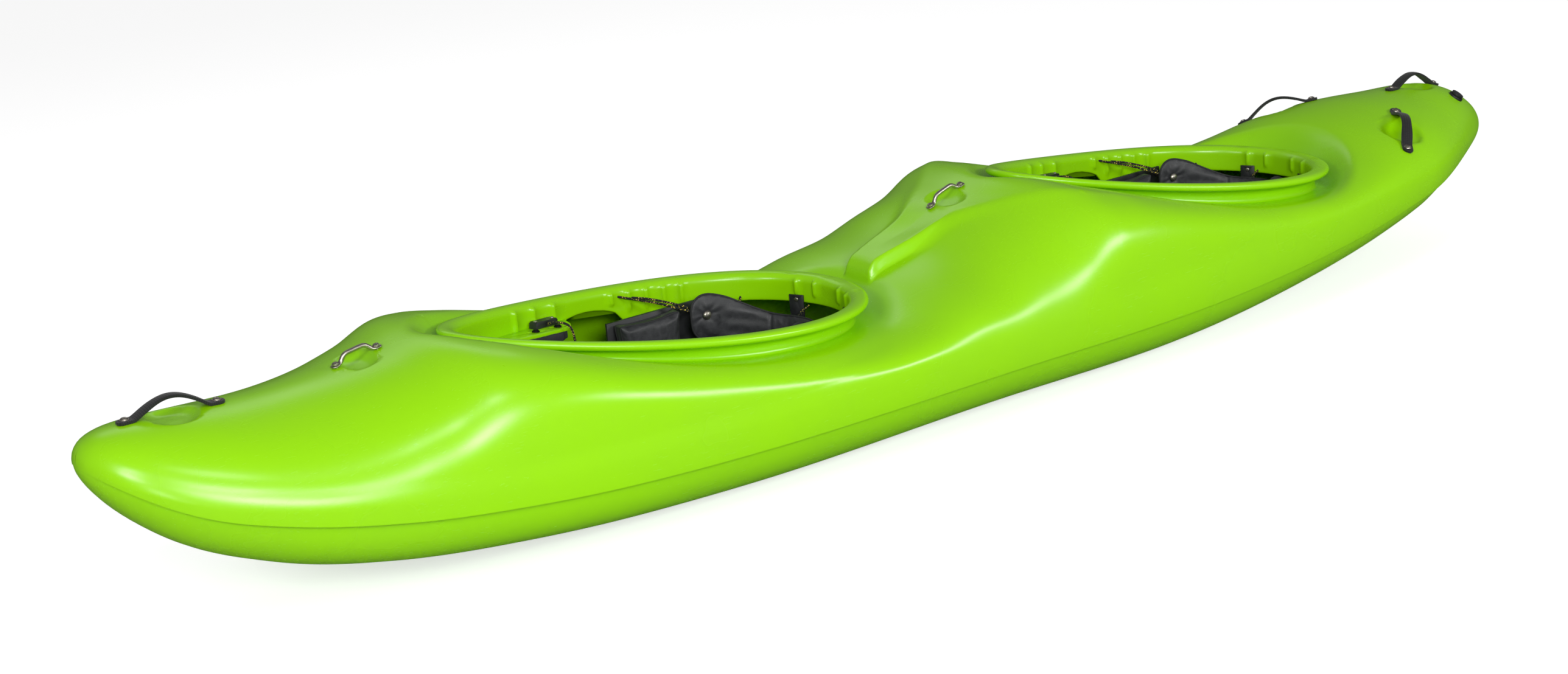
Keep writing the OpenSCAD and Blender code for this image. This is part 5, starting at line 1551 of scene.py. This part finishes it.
class KAYAK_OT_seats(bpy.types.Operator):
    """Round the seat pans and lay a quilted pad on each"""

    bl_idname = "kayak.seats"
    bl_label = "Seats"

    def execute(self, context):
        swell = context.scene.kayak_sizes.swell / MM
        model = block(SEAT_PAD)
        bpy.ops.mesh.bevel(offset=6 * MM, segments=3, affect="EDGES")
        bpy.ops.object.mode_set(mode="OBJECT")
        remesh(model, PAD_VOXEL)
        stuff(model, 3, min(swell, SEAT_PAD_SWELL))
        subdivide(model)
        co = coords(model)
        for x in CHANNELS:
            sunk = CHANNEL_DEPTH * MM * np.exp(-((co[:, 0] / MM - x) / CHANNEL_WIDTH) ** 2)
            co[:, 2] -= np.where(co[:, 2] > 0, sunk, 0)
        set_coords(model, co)
        relax(model, 1, 0.3)
        for c, cockpit in enumerate(COCKPITS):
            pan = f"{cockpit}_seat_pan"
            round_node(f"{cockpit}_seat_shell", pan, 1.5, 2, "black_plastic", moulded_plastic())
            tilt = math.radians(SEAT_TILT[c])
            spot = Vector((COCKPIT_X[c] + SEAT_FRONT - SEAT_LENGTH, 0, SEAT_BACK_Z[c])) * MM
            m = Matrix.Translation(spot) @ Matrix.Rotation(-tilt, 4, "Y")
            m = m @ Matrix.Translation(Vector(SEAT_PAD_PLACE) * MM)
            pad = copies(f"{cockpit}_seat_cushion", model, [m])
            smooth(pad)
            finish_piece(pad, "hull", "pad_cover", coated_pad_cover(), f"{cockpit}_seat_pad")
        drop(model)
        return {"FINISHED"}


# Hip pads: size, room for the swelling, and place behind the rim's middle and below its height there.
HIP_SIZE = (160.0, 42.0, 160.0)
HIP_MARGIN = 10
HIP_BEHIND = 15
HIP_BELOW = 51
HIP_GAP = 0.3
HIP_CROWN = 5
HIP_CORNERS = ((-1, -1), (1, -1), (1, 1), (-1, 1))


class KAYAK_OT_hip_pads(bpy.types.Operator):
    """Stuff the boxed hip pads and pipe their seams"""

    bl_idname = "kayak.hip_pads"
    bl_label = "Hip pads"

    def execute(self, context):
        sizes = context.scene.kayak_sizes
        piping = sizes.piping / MM
        size = [v - HIP_MARGIN for v in HIP_SIZE]
        model = block(size)
        bpy.ops.mesh.subdivide(number_cuts=7)
        bpy.ops.object.mode_set(mode="OBJECT")
        co = coords(model) / MM
        u, v, w = co[:, 0] / size[0] * 2, co[:, 1] / size[1] * 2, co[:, 2] / size[2] * 2
        # The body's face is crowned, the back lies flat, and the sides draw in between the corners.
        crown = (1 - u**2) * (1 - w**2)
        co[:, 1] += np.where(v < 0, -HIP_CROWN * crown * np.abs(v), 0)
        co[:, 0] *= 1 - 0.04 * (1 - w**2)
        co[:, 2] *= 1 - 0.05 * (1 - u**2)
        set_coords(model, co * MM)
        remesh(model, PAD_VOXEL)
        relax(model, 3)
        stuff(model, 4, sizes.swell / MM * 0.8)
        subdivide(model)
        relax(model, 2, 0.4)
        half = [s / 2 - 1.5 for s in size]
        loop = []
        for (x0, z0), (x1, z1) in zip(HIP_CORNERS, HIP_CORNERS[1:] + HIP_CORNERS[:1]):
            for k in np.arange(24) / 24:
                loop.append((half[0] * (x0 + (x1 - x0) * k), 0, half[2] * (z0 + (z1 - z0) * k)))
        loop = np.array(loop)
        seams = []
        for level in (-half[1] + 3, half[1] - 4):
            path = on_surface(model, loop * 1.06 + (0, level, 0), 0.3)
            seams.append(tube("seam", evened(path, 3), piping, 8, closed=True))
        for c, cockpit in enumerate(COCKPITS):
            x = COCKPIT_X[c] - HIP_BEHIND - HIP_SIZE[0] / 2
            y = SEAT_HALF - HIP_SIZE[1] / 2 - HIP_GAP
            z = rim_line_z(c, x) - HIP_BELOW - HIP_SIZE[2] / 2
            for side, sign in SIDES:
                m = Matrix.Translation(Vector((x, sign * y, z)) * MM) @ Matrix.Diagonal((1, sign, 1, 1))
                pad = copies(f"{cockpit}_{side}_hip_cushion", model, [m])
                smooth(pad)
                finish_piece(pad, "hull", "pad_cover", coated_pad_cover(), f"{cockpit}_{side}_hip_pad")
                both = [copies("part", s, [m]) for s in seams]
                deselect()
                for s in both:
                    s.select_set(True)
                context.view_layer.objects.active = both[0]
                bpy.ops.object.join()
                both[0].name = f"{cockpit}_{side}_hip_piping"
                smooth(both[0])
                finish_piece(both[0], "hull", "pad_cover", soft_rubber())
        for obj in (model, *seams):
            drop(obj)
        return {"FINISHED"}


# Backbands: u runs from the starboard end -1 to the port end 1
BAND_END = 190.0
BAND_DEPTH = 180.0
BAND_HALF = 165.0
BAND_THICK = 24.0
BAND_AROUND = 28
BAND_MARGIN = 3
# Height of the band's upper and lower edge at its middle, and how far they rise towards its ends.
BAND_TOP = (-98, 66)
BAND_LOW = (-216, 59.4)
PIVOT = (-222.0, -88.0)
# Places across the band of the sewn lines, and of the middle of the slack folds.
BAND_SEAMS = (-0.36, 0.36)
BAND_SLACK = 0.55
BUTTON_PROUD = 3.5
BUTTON_RINGS = ((2, -4), (9, -3.2), (10, -1.5), (9.6, 0.6), (7.6, 2.6), (4.6, 3.9), (1.2, 4.4))


def signed_power(v, power):
    return math.copysign(abs(v) ** power, v)


def band_middle(u):
    """Middle of the band at u: x, y, top and low, in millimetres from the rim's middle."""
    a = math.pi / 2 * u
    top = BAND_TOP[0] + BAND_TOP[1] * ease(0.26, 0.97, np.abs(u))
    low = BAND_LOW[0] + BAND_LOW[1] * ease(0.3, 1, np.abs(u))
    return -BAND_END - BAND_DEPTH * np.cos(a), BAND_HALF * np.sin(a), top, low


def band_out(u):
    """Unit direction out of the band's back at u."""
    a = math.pi / 2 * u
    n = np.array([-np.cos(a), np.sin(a) * BAND_DEPTH / BAND_HALF])
    return n / np.linalg.norm(n)


class KAYAK_OT_backbands(bpy.types.Operator):
    """Stuff the backbands, with bound edges, buttons and the folds that radiate from them"""

    bl_idname = "kayak.backbands"
    bl_label = "Backbands"

    def execute(self, context):
        sizes = context.scene.kayak_sizes
        rings, edge = [], []
        for u in np.sin(np.linspace(-math.pi / 2, math.pi / 2, 61)):
            x, y, top, low = band_middle(u)
            n = band_out(u)
            k = 0.22 + 0.78 * math.sqrt(max(0, 1 - abs(u) ** 11))
            mid, half = (top + low) / 2, (top - low) / 2 - BAND_MARGIN
            edge.append(((x, y, mid + half * k), (x, y, mid - half * k)))
            ring = []
            for j in range(BAND_AROUND):
                t = -2 * math.pi * j / BAND_AROUND
                deep = BAND_THICK / 2 - BAND_MARGIN
                d = deep * signed_power(math.cos(t), 0.8) * (0.4 + 0.6 * k)
                z = half * signed_power(math.sin(t), 0.7) * k
                ring.append((x + n[0] * d, y + n[1] * d, mid + z))
            rings.append(ring)
        model = lofted("band_model", rings)
        remesh(model, PAD_VOXEL)
        relax(model, 2)
        stuff(model, 4, min(sizes.swell / MM, BAND_MARGIN))
        subdivide(model)
        co, nr = coords(model) / MM, normals(model)
        for sign in (1, -1):
            r = np.hypot(co[:, 0] - PIVOT[0], co[:, 2] - PIVOT[1])
            near = (co[:, 1] * sign > 120) & (nr[:, 1] * sign < 0.1)
            angle = np.arctan2(co[:, 2] - PIVOT[1], co[:, 0] - PIVOT[0])
            folds = np.cos(7 * angle + 0.6) + 0.6 * np.cos(11 * angle + 2)
            push = -5.5 * np.exp(-(r / 13) ** 2) + 1.1 * folds * np.exp(-r / 26) * ease(7, 16, r)
            co += nr * np.where(near, push, 0)[:, None]
        # Sewn lines cross the lumbar part, and slack folds lie between the wings and the back.
        u = np.arctan2(co[:, 1] / BAND_HALF, -(co[:, 0] + BAND_END) / BAND_DEPTH) / (math.pi / 2)
        inward = nr[:, 0] > 0
        wing = 1 - ease(0.1, 0.3, np.abs(np.abs(u) - BAND_SLACK))
        slack = 0.8 * np.sin(co[:, 2] / 5 + 9 * u) * wing
        seam = sum(2.2 * np.exp(-((u - k) * 270 / 4) ** 2) for k in BAND_SEAMS)
        co += nr * np.where(inward, slack - seam, 0)[:, None]
        set_coords(model, co * MM)
        relax(model, 1, 0.3)
        edge = np.array(edge)
        loop = np.concatenate([edge[:, 0], edge[::-1, 1]])
        path = path_points(np.concatenate([loop, loop[:1]]), 6)[:-1]
        path = evened(on_surface(model, path, -0.4), 4)
        binding = tube("binding", path, sizes.piping / MM * 1.1, 8, closed=True)
        button = turned("button", BUTTON_RINGS, 36)
        for c, cockpit in enumerate(COCKPITS):
            body = f"{cockpit}_backband"
            at = Vector((COCKPIT_X[c], 0, rim_line_z(c, COCKPIT_X[c]))) * MM
            band = copies(f"{cockpit}_backband_pad", model, [Matrix.Translation(at)])
            smooth(band)
            finish_piece(band, body, "pad_cover", coated_pad_cover(), f"{cockpit}_backband")
            bound = copies(f"{cockpit}_backband_binding", binding, [Matrix.Translation(at)])
            smooth(bound)
            finish_piece(bound, body, "pad_cover", soft_rubber())
            pivots = f"{cockpit}_backband_pivots"
            round_node(f"{cockpit}_pivot_pins", pivots, 0.6, 2, "steel", stainless_steel())
            places = []
            for _, sign in SIDES:
                y = sign * (BAND_HALF - BAND_THICK / 2 - BUTTON_PROUD)
                spot = Vector((PIVOT[0], y, PIVOT[1])) * MM + at
                places.append(Matrix.Translation(spot) @ Matrix.Rotation(sign * math.pi / 2, 4, "X"))
            caps = copies(f"{cockpit}_band_buttons", button, places)
            smooth(caps, 50)
            owner = body_of(frame["nodes"][pivots])[0]
            finish_piece(caps, owner, "steel", stainless_steel())
        for obj in (model, binding, button):
            drop(obj)
        return {"FINISHED"}


class KAYAK_OT_thigh_hooks(bpy.types.Operator):
    """Round the thigh hooks and cleats, and pad the hooks with foam"""

    bl_idname = "kayak.thigh_hooks"
    bl_label = "Thigh hooks"

    def execute(self, context):
        for cockpit in COCKPITS:
            for side, _ in SIDES:
                name = f"{cockpit}_{side}"
                shell = moulded_polyethylene()
                round_node(f"{name}_hook_plate", f"{name}_thigh_hook", 1.8, 3, "polyethylene", shell, 14)
                pad = refined_copy(f"{name}_thigh_foam", f"{name}_thigh_pad", 0.5, 1)
                remesh(pad, THIGH_VOXEL)
                relax(pad, 2)
                stuff(pad, 2, 2)
                subdivide(pad)
                smooth(pad)
                finish_piece(pad, f"{name}_thigh_pad", "foam", closed_cell_foam(), f"{name}_thigh_pad")
                bolts = f"{name}_thigh_bolts"
                round_node(f"{name}_thigh_studs", bolts, 0.5, 2, "steel", blackened_steel())
            cleats, screws = f"{cockpit}_cleats", f"{cockpit}_cleat_screws"
            round_node(f"{cockpit}_cleat_bodies", cleats, 1.2, 3, "black_plastic", moulded_plastic())
            round_node(f"{cockpit}_cleat_bolts", screws, 0.6, 2, "steel", stainless_steel())
        return {"FINISHED"}


class KAYAK_OT_rear_straps(bpy.types.Operator):
    """Round the rear straps and their rivets"""

    bl_idname = "kayak.rear_straps"
    bl_label = "Rear straps"

    def execute(self, context):
        for cockpit in COCKPITS:
            straps, rivets = f"{cockpit}_rear_straps", f"{cockpit}_strap_rivets"
            round_node(f"{cockpit}_strap_pair", straps, 1, 2, "webbing", moulded_plastic())
            round_node(f"{cockpit}_rivet_pair", rivets, 0.7, 3, "steel", stainless_steel())
        return {"FINISHED"}


class KAYAK_OT_bulkheads(bpy.types.Operator):
    """Round the foot rails and plates, and face the plates with foam"""

    bl_idname = "kayak.bulkheads"
    bl_label = "Foot bulkheads"

    def execute(self, context):
        for cockpit in COCKPITS:
            metal = brushed_aluminium()
            round_node(f"{cockpit}_rail_pair", f"{cockpit}_foot_rails", 0.8, 2, "aluminium", metal)
            round_node(f"{cockpit}_foot_plate", f"{cockpit}_foot_bulkhead", 1.2, 2, "aluminium", metal)
            pad = f"{cockpit}_foot_pad"
            foam = round_node(f"{cockpit}_foot_foam", pad, 3, 3, "foam", closed_cell_foam())
        return {"FINISHED"}


class KAYAK_OT_pillars(bpy.types.Operator):
    """Round the foam pillars that hold up the deck"""

    bl_idname = "kayak.pillars"
    bl_label = "Foam pillars"

    def execute(self, context):
        for end in ("bow", "stern"):
            pillar = f"{end}_foam_pillar"
            foam = round_node(f"{end}_pillar_foam", pillar, 5, 3, "foam", closed_cell_foam())
        return {"FINISHED"}


OPERATORS = (
    KAYAK_OT_stage, KAYAK_OT_cords, KAYAK_OT_hull, KAYAK_OT_handles, KAYAK_OT_security_bars,
    KAYAK_OT_drain, KAYAK_OT_seats, KAYAK_OT_hip_pads, KAYAK_OT_backbands, KAYAK_OT_thigh_hooks,
    KAYAK_OT_rear_straps, KAYAK_OT_bulkheads, KAYAK_OT_pillars,
)


class KAYAK_PT_panel(bpy.types.Panel):
    """Sizes, colours and buttons of the kayak"""

    bl_idname = "KAYAK_PT_panel"
    bl_label = "Tandem kayak"
    bl_space_type = "VIEW_3D"
    bl_region_type = "UI"
    bl_category = "Kayak"

    def draw(self, context):
        column = self.layout.column()
        for group in (context.scene.kayak_sizes, context.scene.kayak_colours):
            for name in group.__annotations__:
                column.prop(group, name)
        for operator in OPERATORS:
            column.operator(operator.bl_idname)


CLASSES = (KayakSizes, KayakColours, *OPERATORS, KAYAK_PT_panel)


def register():
    for cls in CLASSES:
        bpy.utils.register_class(cls)
    bpy.types.Scene.kayak_sizes = PointerProperty(type=KayakSizes)
    bpy.types.Scene.kayak_colours = PointerProperty(type=KayakColours)


def unregister():
    del bpy.types.Scene.kayak_sizes
    del bpy.types.Scene.kayak_colours
    for cls in reversed(CLASSES):
        bpy.utils.unregister_class(cls)


def main():
    register()
    for operator in OPERATORS:
        group, name = operator.bl_idname.split(".")
        getattr(getattr(bpy.ops, group), name)()


if __name__ == "__main__":
    main()
